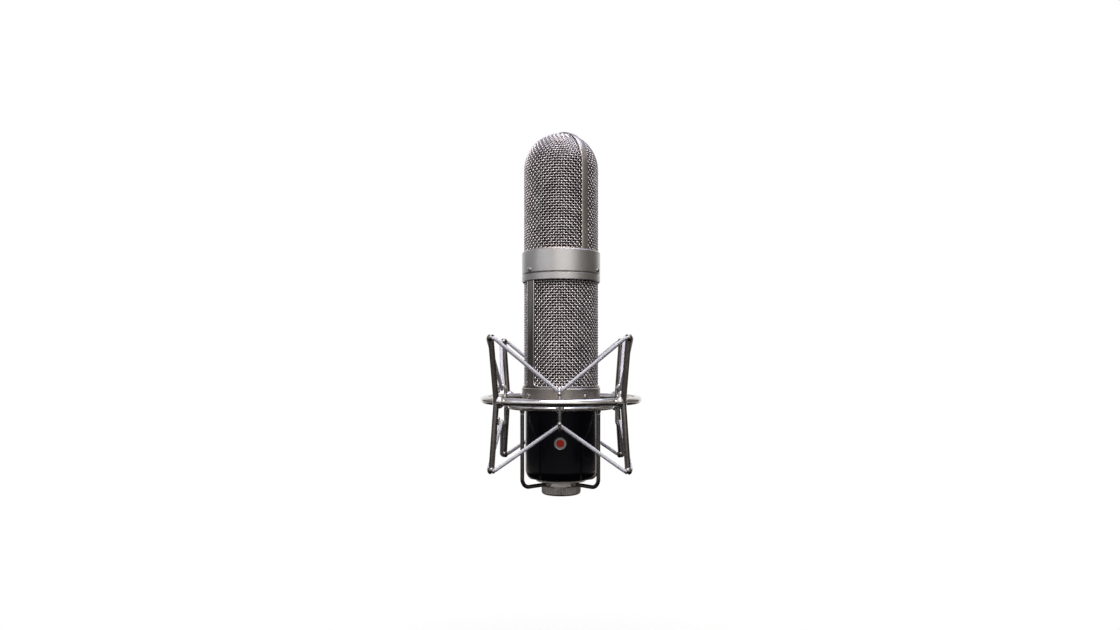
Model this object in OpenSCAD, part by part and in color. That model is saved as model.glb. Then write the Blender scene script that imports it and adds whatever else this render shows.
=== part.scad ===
// Stereo ribbon microphone, hung by elastic cords in a cradle mount, in millimetres.
// Two ribbon motors stand one above the other, a quarter turn apart, each behind a woven grille.
// The origin is the mouth of the stand socket. +Z is up, and the front looks along -Y.

/* [Grilles] */
// Radius over the crowns of the woven grilles
mesh_r = 26; // [25:0.25:28]
// Height of the lower grille that shows between its collars
lower_grille_h = 73; // [66:1:90]
// Straight height of the upper grille, below its dome
upper_grille_h = 57.4; // [50:0.2:75]
// Spacing of the woven wires
weave_pitch = 5.8; // [5.4:0.1:8]
// Radius of a woven wire
wire_r = 0.6; // [0.4:0.05:0.65]
// How far a wire waves to each side of the middle of the weave
wire_wave = 0.55; // [0.5:0.01:0.7]
// Thickness of the grille frames
frame_t = 0.6; // [0.4:0.05:1]
// Width of a rib of the lower grille frame
rib_w = 7; // [4:0.1:9]
// Width of the hoop over the upper grille
hoop_w = 5; // [4:0.1:8]
// Corner radius of the windows in the lower grille frame
window_corner_r = 3.5; // [2:0.1:6]
// Strip of the lower frame that shows between a collar and a window
window_edge = 1.1; // [0.5:0.1:3]
// Turn of the lower ribs from the front, towards the right
lower_rib_turn = -50.8; // [-90:0.2:90]
// Turn of the upper hoop from the lower ribs
motor_turn = 90; // [90:1:90]
// Thickness of the gauze liners
gauze_t = 0.4; // [0.3:0.05:0.6]

/* [Collars and decks] */
// Height of the lower collar
lower_collar_h = 12.3; // [11:0.1:18]
// Height of the middle ring, below the seam
middle_ring_h = 5.4; // [5:0.1:9]
// Height of the middle collar, above the seam
middle_collar_h = 15.3; // [14:0.1:22]
// Thickness of the lip that a collar puts round a grille frame
collar_lip = 0.6; // [0.4:0.05:1.2]
// Depth of that lip
lip_depth = 3; // [2:0.1:4]
// Wall of a collar below its lip
collar_wall = 3; // [2.6:0.1:3.6]
// Bevel along the collars' outer edges
collar_bevel = 0.5; // [0.2:0.05:0.55]
// Thickness of the lower deck
lower_deck_t = 5; // [4.5:0.1:7]
// Height of the rim of the middle deck
middle_deck_h = 7; // [6:0.1:10]
// Radius of a collar screw's shank
screw_r = 1; // [0.8:0.05:1.2]
// Radius of a collar screw's head
screw_head_r = 1.7; // [1.5:0.05:2]
// Height of a collar screw's head
screw_head_h = 0.8; // [0.6:0.05:1]

/* [Lower body] */
// Radius of the lower body
body_r = 25; // [24:0.25:26]
// Height of the lower body
body_h = 51.1; // [47:0.1:70]
// Wall of the lower body
body_wall = 1.6; // [1.2:0.1:2]
// Thickness of the lower body's floor
body_floor_t = 2; // [1.5:0.1:3]
// Radius of the lower body's bottom edge
body_edge_r = 6.5; // [4:0.1:7.5]
// Radius of the base plate
base_plate_r = 17.5; // [16:0.1:18]
// Thickness of the base plate
base_plate_t = 1.5; // [1.3:0.1:2.5]
// Outer radius of the threaded neck
neck_r = 11; // [10.7:0.05:11.2]
// Bore of the connector in the neck
connector_r = 9.6; // [9.4:0.05:9.7]
// Depth of the connector socket above the neck's rim
connector_depth = 14; // [12:0.1:18]
// Radius of a connector pin
pin_r = 0.95; // [0.8:0.05:1]
// Number of connector pins
pin_count = 5; // [3:1:5]
// Radius of the circle that the pins stand on
pin_circle_r = 4.9; // [4.8:0.05:5.4]
// Radius of the medallion on the front
medallion_r = 4.2; // [3:0.1:6]
// How far the medallion stands out
medallion_t = 0.7; // [0.4:0.05:1.2]
// Height of the medallion's centre above the body's bottom
medallion_rise = 26.7; // [20:0.1:34]

/* [Ring nut] */
// Radius over the knurl of the ring nut
nut_r = 13.7; // [13:0.1:15]
// Height of the ring nut
nut_h = 6.2; // [5:0.1:9]
// Number of knurled teeth
nut_teeth = 60; // [36:2:72]
// Depth of the knurl
knurl_depth = 0.35; // [0.2:0.05:0.5]
// Radius of the nut's lower edge
nut_edge_r = 2; // [1:0.1:2.4]

/* [Cradle] */
// Height of the cradle hub
hub_h = 3.1; // [2.9:0.1:5]
// Wall of the cradle hub
hub_wall = 1.1; // [0.9:0.05:1.6]
// Radius of the cradle wires
cradle_wire_r = 1.35; // [1:0.05:1.4]
// Distance of the upright cradle wires, and of the ring on their ends, from the axis
cradle_reach = 35.9; // [34:0.1:38]
// Bend radius of the cradle wires
cradle_bend_r = 6; // [4:0.1:8]
// Rod radius of the cradle ring
cradle_rod_r = 1.75; // [1.4:0.05:2]
// Height of the cradle ring above the nut's rim
cradle_ring_z = 61.2; // [55:0.1:66]
// Rod radius of the hook posts
post_r = 1.2; // [1:0.05:1.3]
// Height of the upper hooks above the cradle ring
hook_above = 11.8; // [8:0.1:16]
// Depth of the lower hooks below the cradle ring
hook_below = 10.7; // [8:0.1:16]
// Radius of the ball on a hook's tip
hook_ball_r = 1.5; // [1.3:0.05:1.7]

/* [Outer frame] */
// Centreline radius of the outer ring
ring_r = 53.6; // [52:0.1:60]
// Rod radius of the outer ring
ring_rod_r = 2.55; // [2:0.05:3]
// Height of the outer ring above the nut's rim
ring_z = 66; // [62:0.1:70]
// Rod radius of the outer arms
arm_r = 1.9; // [1.5:0.05:2.2]
// How far the arms' upper ends lean out from the ring
arm_lean_top = 4.5; // [2:0.1:7]
// How far the arms' lower ends lean out from the ring
arm_lean_low = 4; // [2:0.1:7]
// Height of the arms above the ring
arm_above = 41.4; // [34:0.1:50]
// Length of the arms below the ring
arm_below = 43.8; // [34:0.1:50]
// Radius of the slotted balls on the arms' ends
arm_ball_r = 2.7; // [2.5:0.05:3]
// Radius of the elastic cords
cord_r = 1.25; // [1:0.05:1.5]

/* [Stand joint] */
// Distance of the tilt screw behind the outer ring
pivot_behind = 16.4; // [16:0.1:20]
// Height of the tilt screw above the socket's mouth
pivot_z = 38; // [37:0.1:42]
// Outer radius of the stand socket
socket_r = 12; // [11:0.1:12.5]
// Height of the stand socket below its clevis
socket_h = 20; // [18:0.1:21]
// Wall radius of the stand thread
thread_r = 7.5; // [7.4:0.05:8]
// Depth of the stand thread
thread_depth = 14; // [12:0.1:16]
// Radius of the clevis round the tilt screw
clevis_r = 8; // [7.5:0.1:8.5]
// Thickness of one ear of the clevis
ear_t = 5; // [4:0.1:6]
// Thickness of the bracket's tongue
tongue_t = 6; // [5:0.1:7]
// Height of the bracket's tongue
tongue_h = 8; // [7:0.1:8.4]
// Radius of the tilt screw
tilt_screw_r = 2.5; // [2:0.05:3]
// Radius of the tilt knob
knob_r = 8.5; // [7:0.1:10]
// Thickness of the tilt knob
knob_t = 8; // [6:0.1:10]
// Number of lobes on the tilt knob
knob_lobes = 6; // [5:1:8]

/* [Ribbon motors] */
// Width of a pole frame
pole_w = 36; // [34:0.2:38]
// Height of a pole frame
pole_h = 64; // [60:0.5:66]
// Thickness of a pole frame
pole_t = 9; // [8:0.2:12]
// Width of the window in a pole frame
pole_window_w = 22; // [21:0.2:24]
// Height of the window in a pole frame
pole_window_h = 50; // [46:0.5:52]
// Width of a magnet
magnet_w = 7.8; // [7.5:0.1:8]
// Width of a ribbon
ribbon_w = 5.2; // [4.6:0.1:5.4]
// Thickness of the foil that stands for a ribbon
ribbon_t = 0.15; // [0.1:0.01:0.2]
// Length of one corrugation of a ribbon
ribbon_fold = 2; // [1.6:0.1:3]
// Height of a ribbon clamp
clamp_h = 5; // [4:0.1:6]
// Radius of a motor standoff
standoff_r = 2.5; // [2:0.1:3]
// Gap between the lower deck and the lower motor
lower_standoff_h = 7; // [6:0.1:10]
// Gap between the middle deck and the upper motor
upper_standoff_h = 15.7; // [12:0.1:18]
// Radius of a transformer can
transformer_r = 9.5; // [8:0.1:9.6]
// Height of a transformer can
transformer_h = 26; // [20:0.5:27]
// Radius of the leads
lead_r = 0.45; // [0.3:0.05:0.6]

/* [Hidden] */

// Clearances: between fixed pieces, of a running fit, and between faces that turn on each other
seat = 0.05;
running = 0.05;
turn_gap = 0.1;
cord_clear = 0.2;
eps = 0.5;

// Heights above the ring nut's rim
hub_z = nut_h + turn_gap;
plate_z = hub_z + hub_h;
body_z = plate_z + base_plate_t;
collar_z = body_z + body_h;
lower_grille_z = collar_z + lower_collar_h;
middle_z = lower_grille_z + lower_grille_h;
seam_z = middle_z + middle_ring_h;
upper_grille_z = seam_z + middle_collar_h;
dome_z = upper_grille_z + upper_grille_h;

// Ledges inside the collars' lips, which the grilles stand on
lower_ledge_z = lower_grille_z - lip_depth;
middle_ledge_z = middle_z + lip_depth;
upper_ledge_z = upper_grille_z - lip_depth;

// Radii, worked out from the grille's radius inwards and outwards
weave_r = mesh_r - wire_r - wire_wave;
gauze_r = weave_r - wire_wave - wire_r / 2 - seat;
frame_r = mesh_r + seat;
lip_r = frame_r + frame_t + seat;
collar_r = lip_r + collar_lip;
collar_bore_r = collar_r - collar_wall;
deck_r = collar_bore_r - seat;
hub_bore_r = neck_r + running * 2;
hub_r = hub_bore_r + hub_wall;

// Heights inside
lower_deck_z = lower_ledge_z - lower_deck_t;
lower_motor_z = lower_ledge_z + lower_standoff_h + pole_h / 2;
upper_motor_z = middle_ledge_z + middle_deck_h + upper_standoff_h + pole_h / 2;
upper_rib_turn = lower_rib_turn + motor_turn;

// Collar screws: turns from the front, and heights
lower_screw_turns = [-53.5, 39];
middle_screw_turns = [-51, 69, 189];
lower_screw_z = lower_ledge_z - lower_deck_t / 2;
middle_screw_z = seam_z + screw_head_r + collar_bevel;
deck_screw_len = 2;

// Cradle and outer frame
arm_turns = [45, 135, 225, 315];
post_turns = [0, 90, 180, 270];
cradle_wire_z = hub_z + hub_h - cradle_wire_r - seat;
post_reach = cradle_reach + cradle_rod_r + post_r + seat;
hook_bend_r = post_r + cord_r + cord_clear;
hook_reach = post_reach + hook_bend_r;
hook_tip = hook_ball_r;
upper_hook_z = cradle_ring_z + hook_above;
lower_hook_z = cradle_ring_z - hook_below;
arm_reach = ring_r + ring_rod_r + arm_r + seat;
arm_top_reach = arm_reach + arm_lean_top;
arm_low_reach = arm_reach + arm_lean_low;
arm_top_z = ring_z + arm_above;
arm_low_z = ring_z - arm_below;

// From the socket's mouth to the microphone's axis and the nut's rim
axis_y = -(ring_r + pivot_behind);
rim_z = pivot_z - ring_z;

module at_microphone() translate([0, axis_y, rim_z]) children();

// A point at a turn from the front, measured towards the right
function around(turn, r, z) = [r * sin(turn), -r * cos(turn), z];
function unit(v) = v / norm(v);
function arc(centre, r, from, to, steps) =
    [for (i = [0:steps]) let (a = from + (to - from) * i / steps) centre + r * [cos(a), sin(a)]];

// Turns a shape that points along +X to a turn from the front
module to_turn(turn) rotate([0, 0, turn - 90]) children();

module rod(from, to, r) {
    d = to - from;
    translate(from)
        rotate([0, acos(d.z / norm(d)), atan2(d.y, d.x)])
            cylinder(r = r, h = norm(d), $fn = 48);
}

module ring_of_rod(ring, rod) rotate_extrude($fn = 128) translate([ring, 0]) circle(r = rod, $fn = 32);

// A bend of rod in the XZ plane, about the bend's centre
module bend(bend_r, rod, from, sweep)
    rotate([90, 0, 0])
        rotate([0, 0, from])
            rotate_extrude(angle = sweep, $fn = 64) translate([bend_r, 0]) circle(r = rod, $fn = 32);

module tube(outer, inner, z, h)
    translate([0, 0, z])
        difference() {
            cylinder(r = outer, h = h, $fn = 128);
            translate([0, 0, -eps]) cylinder(r = inner, h = h + 2 * eps, $fn = 128);
        }

// A swept tube: one ring of points at each point of the path, closed by caps or onto itself
function tangent(path, i, closed) =
    let (n = len(path))
    unit(path[closed ? (i + 1) % n : min(i + 1, n - 1)] - path[closed ? (i + n - 1) % n : max(i - 1, 0)]);
function swept_ring(at, along, up, r, sides) =
    let (across = unit(cross(along, up)), rise = cross(across, along))
    [for (k = [0:sides - 1]) at + r * (cos(360 * k / sides) * rise + sin(360 * k / sides) * across)];
function swept_points(path, r, sides, up, closed) =
    [for (i = [0:len(path) - 1]) each swept_ring(path[i], tangent(path, i, closed), up, r, sides)];
function side_faces(rings, sides, first, closed) =
    [for (i = [0:rings - (closed ? 1 : 2)], k = [0:sides - 1])
        let (a = first + i * sides, b = first + (i + 1) % rings * sides, n = (k + 1) % sides)
        each [[a + k, b + k, b + n], [a + k, b + n, a + n]]];
function cap_faces(rings, sides, first) =
    [[for (k = [0:sides - 1]) first + k], [for (k = [sides - 1:-1:0]) first + (rings - 1) * sides + k]];

module swept(path, r, sides, up = [0, 0, 1], closed = false) {
    caps = closed ? [] : cap_faces(len(path), sides, 0);
    polyhedron(swept_points(path, r, sides, up, closed),
        concat(side_faces(len(path), sides, 0, closed), caps));
}

// A woven half shell is laid out flat: u runs round it from its centre line and v up from its dome.
// Below v = 0 it wraps a cylinder. Above, it is a quarter sphere, true to length from the centre line.
function shell_normal(u, v, r, turn) =
    let (a = u / r * 180 / PI, dist = norm([u, v]) / r * 180 / PI)
    v <= 0 ? around(turn + a, 1, 0)
        : cos(dist) * around(turn, 1, 0)
            + sin(dist) * (u * [cos(turn), sin(turn), 0] + v * [0, 0, 1]) / norm([u, v]);
function shell_point(u, v, r, lift, turn) = (r + lift) * shell_normal(u, v, r, turn) + [0, 0, min(v, 0)];

// Where the wire through (c, 0) enters and leaves the flat outline of half width w and depth h
function wire_start(c, w, h, domed) = domed && c < -w ? (c - sqrt(2 * w * w - c * c)) / 2 : max(-w, c - h);
function wire_end(c, w, domed) = c > w ? w : domed ? (c + sqrt(2 * w * w - c * c)) / 2 : c;
function wire_stops(from, to, step) =
    [from, each [for (k = [ceil(from / step + 0.3):floor(to / step - 0.3)]) k * step], to];

// One wire rises to the right, or to the left where side is -1, and waves over and under the others
function wire_ring(u, c, side, step, r, turn) =
    let (
        lift = side * wire_wave * cos(180 * u / step),
        at = shell_point(side * u, u - c, r, lift, turn),
        out = shell_normal(side * u, u - c, r, turn),
        ahead = shell_point(side * (u + 0.1), u + 0.1 - c, r, lift, turn),
        across = unit(cross(ahead - at, out))
    )
    [for (k = [0:2]) at + wire_r * (cos(120 * k) * out + sin(120 * k) * across)];
function wire_faces(rings, first) = concat(side_faces(rings, 3, first, false), cap_faces(rings, 3, first));
function flipped(faces) = [for (f = faces) [for (i = [len(f) - 1:-1:0]) f[i]]];
function running_sum(counts) =
    [for (i = 0, s = 0; i <= len(counts); s = s + (i < len(counts) ? counts[i] : 0), i = i + 1) s];

module woven_shell(turn, height, domed) {
    step = weave_pitch / sqrt(2);
    half_w = weave_r * PI / 2 - 2 * seat - wire_r;
    reach = domed ? half_w * sqrt(2) : half_w;
    wires = [for (side = [1, -1], i = [ceil(-reach / 2 / step):floor((half_w + height) / 2 / step)])
        let (
            c = 2 * i * step,
            from = wire_start(c, half_w, height, domed),
            to = wire_end(c, half_w, domed)
        )
        if (to - from > step) [c, side, wire_stops(from, to, step)]];
    firsts = running_sum([for (w = wires) 3 * len(w[2])]);
    points = [for (w = wires, u = w[2]) each wire_ring(u, w[0], w[1], step, weave_r, turn)];
    faces = [for (i = [0:len(wires) - 1]) each wire_faces(len(wires[i][2]), firsts[i])];
    polyhedron(points, faces);
}

// Stand side

module tilt_bore(r, length)
    translate([-length / 2, 0, pivot_z]) rotate([0, 90, 0]) cylinder(r = r, h = length, $fn = 48);

module stand_socket() color("dimgray") {
    head_w = tongue_t + 2 * turn_gap + 2 * ear_t;
    slot_floor = pivot_z - clevis_r - 2.5;
    difference() {
        union() {
            rotate_extrude($fn = 96)
                polygon([[0, 0], [socket_r - 1, 0], [socket_r, 1], [socket_r, socket_h - 2],
                    [clevis_r, socket_h + 2], [0, socket_h + 2]]);
            tilt_bore(clevis_r, head_w);
            translate([-head_w / 2, -clevis_r, socket_h]) cube([head_w, 2 * clevis_r, pivot_z - socket_h]);
        }
        translate([-tongue_t / 2 - turn_gap, -2 * clevis_r, slot_floor])
            cube([tongue_t + 2 * turn_gap, 4 * clevis_r, 3 * clevis_r]);
        tilt_bore(tilt_screw_r + running, 2 * head_w);
        translate([0, 0, -eps]) cylinder(r = thread_r, h = thread_depth + eps, $fn = 96);
    }
}

module tilt_screw() color("silver") {
    grip = tongue_t / 2 + turn_gap + ear_t + turn_gap;
    head_h = tilt_screw_r + eps;
    knob_gap = 1.5;
    lobe_gap_r = knob_r * 0.28;
    tilt_bore(tilt_screw_r, 2 * (grip + knob_gap));
    translate([-grip - head_h, 0, pivot_z]) rotate([0, 90, 0])
        cylinder(r = clevis_r - tilt_screw_r, h = head_h, $fn = 6);
    translate([grip, 0, pivot_z]) rotate([0, 90, 0]) {
        cylinder(r = clevis_r - tilt_screw_r, h = knob_gap + eps, $fn = 48);
        translate([0, 0, knob_gap])
            linear_extrude(knob_t)
                difference() {
                    circle(r = knob_r, $fn = 96);
                    for (i = [0:knob_lobes - 1])
                        rotate(360 * i / knob_lobes)
                            translate([knob_r + lobe_gap_r * 0.4, 0]) circle(r = lobe_gap_r, $fn = 32);
                }
    }
}

// Outer frame

// A block clasps the ring, and its tongue reaches back between the ears of the clevis
module ring_bracket() color("gray") {
    block_h = tongue_h + 1;
    difference() {
        union() {
            tilt_bore(clevis_r - 1.5, tongue_t);
            translate([-tongue_t / 2, -pivot_behind, pivot_z - tongue_h / 2])
                cube([tongue_t, pivot_behind, tongue_h]);
            translate([-tongue_t, -pivot_behind, pivot_z - block_h / 2])
                cube([2 * tongue_t, pivot_behind - clevis_r - tongue_t / 2, block_h]);
        }
        tilt_bore(tilt_screw_r + running, 2 * tongue_t);
        translate([0, axis_y, pivot_z]) ring_of_rod(ring_r, ring_rod_r + seat);
    }
}

module outer_ring() color("silver") at_microphone() translate([0, 0, ring_z])
    ring_of_rod(ring_r, ring_rod_r);

// A ball's slot opens at the arm's end, and the cord lies at its floor, in the middle of the ball
module cord_slot(turn, at, up)
    translate(at) to_turn(turn) {
        rotate([90, 0, 0]) cylinder(r = cord_r + seat, h = 4 * arm_ball_r, center = true, $fn = 48);
        translate([-cord_r - seat, -2 * arm_ball_r, up > 0 ? 0 : -2 * arm_ball_r])
            cube([2 * (cord_r + seat), 4 * arm_ball_r, 2 * arm_ball_r]);
    }

module outer_arm(turn) color("dimgray") at_microphone() {
    lap = arm_r / 5;
    middle = around(turn, arm_reach, ring_z);
    top = around(turn, arm_top_reach, arm_top_z);
    low = around(turn, arm_low_reach, arm_low_z);
    difference() {
        union() {
            rod(middle - lap * unit(top - middle), top, arm_r);
            rod(middle - lap * unit(low - middle), low, arm_r);
            translate(top) sphere(r = arm_ball_r, $fn = 48);
            translate(low) sphere(r = arm_ball_r, $fn = 48);
        }
        cord_slot(turn, top, 1);
        cord_slot(turn, low, -1);
    }
}
module outer_arm_front_left() outer_arm(arm_turns[3]);
module outer_arm_front_right() outer_arm(arm_turns[0]);
module outer_arm_back_left() outer_arm(arm_turns[2]);
module outer_arm_back_right() outer_arm(arm_turns[1]);

// A cord is laced from arm to hook and back, once round the microphone. It runs straight through a
// ball's slot, bends round the ball's inner ear, and turns again inside the hook.
slot_end = arm_ball_r * 0.9;
slot_bend = arm_ball_r + cord_r / 2;
hook_stops = [-1, -0.35, 0.35, 1];
function beside(turn, along, out, up) = along * [cos(turn), sin(turn), 0] + around(turn, out, up);
function cord_path(arm_at, arm_z, hook_z, sag) =
    [for (turn = arm_turns) each concat(
        [for (s = [-1, 1]) each let (
            near = beside(turn, s * slot_end, arm_at, arm_z),
            far = beside(turn, s * slot_bend, arm_at - cord_r / 3, arm_z - sag)
        ) s < 0 ? [far, near] : [near, far]],
        [for (s = hook_stops) beside(turn + 45, s * post_r, hook_reach, hook_z + (abs(s) > 0.5 ? sag : 0))]
    )];

module elastic_cord_top() color("lavender") at_microphone()
    swept(cord_path(arm_top_reach, arm_top_z, upper_hook_z, cord_r / 4), cord_r, 8, closed = true);
module elastic_cord_bottom() color("lavender") at_microphone()
    swept(cord_path(arm_low_reach, arm_low_z, lower_hook_z, -cord_r / 4), cord_r, 8, closed = true);

// Cradle

module cradle_hub() color("silver") at_microphone() tube(hub_r, hub_bore_r, hub_z, hub_h);

module cradle_ring() color("silver") at_microphone()
    translate([0, 0, cradle_ring_z]) ring_of_rod(cradle_reach, cradle_rod_r);

module cradle_wire(turn) color("dimgray") at_microphone()
    difference() {
        to_turn(turn) translate([0, 0, cradle_wire_z]) {
            rod([hub_r - 1, 0, 0], [cradle_reach - cradle_bend_r, 0, 0], cradle_wire_r);
            translate([cradle_reach - cradle_bend_r, 0, cradle_bend_r])
                bend(cradle_bend_r, cradle_wire_r, -90, 90);
            rod([cradle_reach, 0, cradle_bend_r],
                [cradle_reach, 0, cradle_ring_z - cradle_rod_r - seat - cradle_wire_z], cradle_wire_r);
        }
        cylinder(r = hub_r + seat, h = 2 * plate_z, $fn = 96);
    }
module cradle_wire_front_left() cradle_wire(arm_turns[3]);
module cradle_wire_front_right() cradle_wire(arm_turns[0]);
module cradle_wire_back_left() cradle_wire(arm_turns[2]);
module cradle_wire_back_right() cradle_wire(arm_turns[1]);

// A post with a hook at each end. The hooks bend outwards, and their tips end in balls.
module hook(up) {
    translate([hook_bend_r, 0, 0]) bend(hook_bend_r, post_r, up > 0 ? 0 : 180, 180);
    rod([2 * hook_bend_r, 0, 0], [2 * hook_bend_r, 0, -up * hook_tip], post_r);
    translate([2 * hook_bend_r, 0, -up * hook_tip]) sphere(r = hook_ball_r, $fn = 32);
}
module hook_post(turn) color("silver") at_microphone()
    to_turn(turn) translate([post_reach, 0, 0]) {
        rod([0, 0, lower_hook_z], [0, 0, upper_hook_z], post_r);
        translate([0, 0, upper_hook_z]) hook(1);
        translate([0, 0, lower_hook_z]) hook(-1);
    }
module hook_post_front() hook_post(post_turns[0]);
module hook_post_right() hook_post(post_turns[1]);
module hook_post_back() hook_post(post_turns[2]);
module hook_post_left() hook_post(post_turns[3]);

// Base and connector

module ring_nut() color("gray") at_microphone()
    difference() {
        intersection() {
            linear_extrude(nut_h)
                polygon([for (i = [0:2 * nut_teeth - 1])
                    (nut_r - (i % 2) * knurl_depth) * [cos(180 * i / nut_teeth), sin(180 * i / nut_teeth)]]);
            rotate_extrude($fn = 96)
                polygon(concat([[0, 0]], arc([nut_r - nut_edge_r, nut_edge_r], nut_edge_r, -90, 0, 6),
                    [[nut_r, nut_h - 0.4], [nut_r - 0.4, nut_h], [0, nut_h]]));
        }
        translate([0, 0, -eps]) cylinder(r = neck_r + running, h = nut_h + 2 * eps, $fn = 96);
    }

base_screw_turns = [0, 120, 240];
base_screw_reach = (hub_r + base_plate_r) / 2 + 0.1;
base_head_r = 1.6;
base_head_h = 0.8;
base_shank_r = 0.95;
neck_rise = 0.8;
insert_z = neck_rise + connector_depth;
insert_t = 4;

module base_screw_places() for (t = base_screw_turns) translate(around(t, base_screw_reach, 0)) children();

module base_plate() color("silver") at_microphone()
    difference() {
        union() {
            translate([0, 0, plate_z]) cylinder(r = base_plate_r, h = base_plate_t, $fn = 96);
            translate([0, 0, neck_rise])
                cylinder(r = neck_r, h = insert_z + insert_t - neck_rise, $fn = 96);
        }
        cylinder(r = connector_r, h = 2 * insert_z, $fn = 96);
        base_screw_places() {
            translate([0, 0, plate_z - eps])
                cylinder(r = base_head_r + seat, h = base_head_h + eps, $fn = 32);
            translate([0, 0, plate_z]) cylinder(r = base_shank_r + seat, h = 2 * base_plate_t, $fn = 32);
        }
    }

module base_screws() color("gray") at_microphone()
    base_screw_places() {
        translate([0, 0, plate_z]) cylinder(r = base_head_r, h = base_head_h, $fn = 32);
        translate([0, 0, plate_z]) cylinder(r = base_shank_r, h = base_plate_t + body_floor_t, $fn = 32);
    }

function pin_turn(i) = 180 + 360 * (i + 0.5) / (pin_count + 0.5);
module pin_places() for (i = [0:pin_count - 1]) translate(around(pin_turn(i), pin_circle_r, 0)) children();
pin_rise = 4;
pin_top = insert_z + insert_t + 2;

module connector_insert() color("black") at_microphone()
    difference() {
        translate([0, 0, insert_z]) cylinder(r = connector_r - seat, h = insert_t, $fn = 96);
        pin_places() translate([0, 0, insert_z - eps])
            cylinder(r = pin_r + seat / 2, h = insert_t + 2 * eps, $fn = 32);
    }

module connector_pins() color("gold") at_microphone()
    pin_places() {
        translate([0, 0, pin_rise + pin_r]) cylinder(r = pin_r, h = pin_top - pin_rise - pin_r, $fn = 32);
        translate([0, 0, pin_rise + pin_r]) sphere(r = pin_r, $fn = 32);
    }

module body_shell() color([0.03, 0.03, 0.04]) at_microphone()
    difference() {
        rotate_extrude($fn = 128)
            polygon(concat(
                [[neck_r + seat, body_z]],
                arc([body_r - body_edge_r, body_z + body_edge_r], body_edge_r, -90, 0, 8),
                [[body_r, collar_z], [body_r - body_wall, collar_z]],
                arc([body_r - body_edge_r, body_z + body_edge_r], body_edge_r - body_wall, 0, -75, 6),
                [[body_r - body_edge_r, body_z + body_floor_t], [neck_r + seat, body_z + body_floor_t]]
            ));
        base_screw_places() translate([0, 0, body_z - eps])
            cylinder(r = base_shank_r + seat, h = body_floor_t + 2 * eps, $fn = 32);
    }

module front_medallion() color("firebrick") at_microphone()
    difference() {
        translate([0, -body_r - medallion_t, body_z + medallion_rise])
            rotate([-90, 0, 0]) cylinder(r = medallion_r, h = 2 * medallion_t, $fn = 64);
        cylinder(r = body_r + seat / 5, h = collar_z, $fn = 128);
    }

// Collars, decks and their screws

module radial_screw(turn, z) to_turn(turn) translate([0, 0, z]) rotate([0, 90, 0]) {
    translate([0, 0, deck_r - deck_screw_len])
        cylinder(r = screw_r, h = collar_r - screw_head_h / 2 - deck_r + deck_screw_len, $fn = 32);
    translate([0, 0, collar_r - screw_head_h]) cylinder(r = screw_head_r, h = screw_head_h, $fn = 32);
}
module radial_hole(turn, z) to_turn(turn) translate([0, 0, z]) rotate([0, 90, 0]) {
    translate([0, 0, deck_r - deck_screw_len - seat])
        cylinder(r = screw_r + seat, h = 2 * collar_wall + deck_screw_len, $fn = 32);
    translate([0, 0, collar_r - screw_head_h - seat])
        cylinder(r = screw_head_r + seat, h = 2 * screw_head_h, $fn = 32);
}

// The lower collar also reaches down into the body shell
spigot_h = 6;
spigot_wall = 2.2;
module lower_collar() color("silver") at_microphone()
    difference() {
        rotate_extrude($fn = 128)
            polygon([
                [body_r - body_wall - seat - spigot_wall, collar_z - spigot_h],
                [body_r - body_wall - seat, collar_z - spigot_h],
                [body_r - body_wall - seat, collar_z],
                [collar_r - collar_bevel, collar_z],
                [collar_r, collar_z + collar_bevel],
                [collar_r, lower_grille_z - collar_bevel],
                [collar_r - collar_bevel, lower_grille_z],
                [lip_r, lower_grille_z],
                [lip_r, lower_ledge_z],
                [collar_bore_r, lower_ledge_z],
                [collar_bore_r, lower_deck_z],
                [body_r - body_wall - seat - spigot_wall, lower_deck_z]
            ]);
        for (t = lower_screw_turns) radial_hole(t, lower_screw_z);
    }
module lower_collar_screws() color("gainsboro") at_microphone()
    for (t = lower_screw_turns) radial_screw(t, lower_screw_z);

deck_hole_r = 4;
bolt_reach = 12;
bolt_r = 1.5;
bolt_bite = 3;
module bolt_places() for (s = [-1, 1]) translate([0, s * bolt_reach, 0]) children();

module lower_deck() color("darkgray") at_microphone()
    difference() {
        translate([0, 0, lower_deck_z]) cylinder(r = deck_r, h = lower_deck_t, $fn = 128);
        translate([0, 0, lower_deck_z - eps])
            cylinder(r = deck_hole_r, h = lower_deck_t + 2 * eps, $fn = 48);
        for (t = lower_screw_turns) radial_hole(t, lower_screw_z);
        bolt_places() translate([0, 0, lower_deck_z - eps])
            cylinder(r = bolt_r + seat, h = bolt_bite + eps, $fn = 32);
    }

transformer_gap = 0.6;
clamp_plate_t = 1.5;
module transformer(side) color("sienna") at_microphone()
    translate([side * (transformer_r + transformer_gap / 2), 0, lower_deck_z - transformer_h])
        cylinder(r = transformer_r, h = transformer_h, $fn = 64);
module transformer_left() transformer(-1);
module transformer_right() transformer(1);

module transformer_clamp() color("darkgray") at_microphone()
    difference() {
        translate([0, 0, lower_deck_z - transformer_h - clamp_plate_t])
            cylinder(r = 2 * transformer_r, h = clamp_plate_t, $fn = 96);
        translate([0, 0, lower_deck_z - transformer_h - 2 * clamp_plate_t]) {
            cylinder(r = deck_hole_r, h = 3 * clamp_plate_t, $fn = 48);
            bolt_places() cylinder(r = bolt_r + seat, h = 3 * clamp_plate_t, $fn = 32);
        }
    }
module transformer_bolts() color("silver") at_microphone()
    bolt_places() {
        plate_low = lower_deck_z - transformer_h - clamp_plate_t;
        shank_low = plate_low - bolt_r / 2;
        translate([0, 0, plate_low - bolt_r]) cylinder(r = 2 * bolt_r, h = bolt_r, $fn = 6);
        translate([0, 0, shank_low])
            cylinder(r = bolt_r, h = lower_deck_z + bolt_bite - seat - shank_low, $fn = 32);
    }

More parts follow.
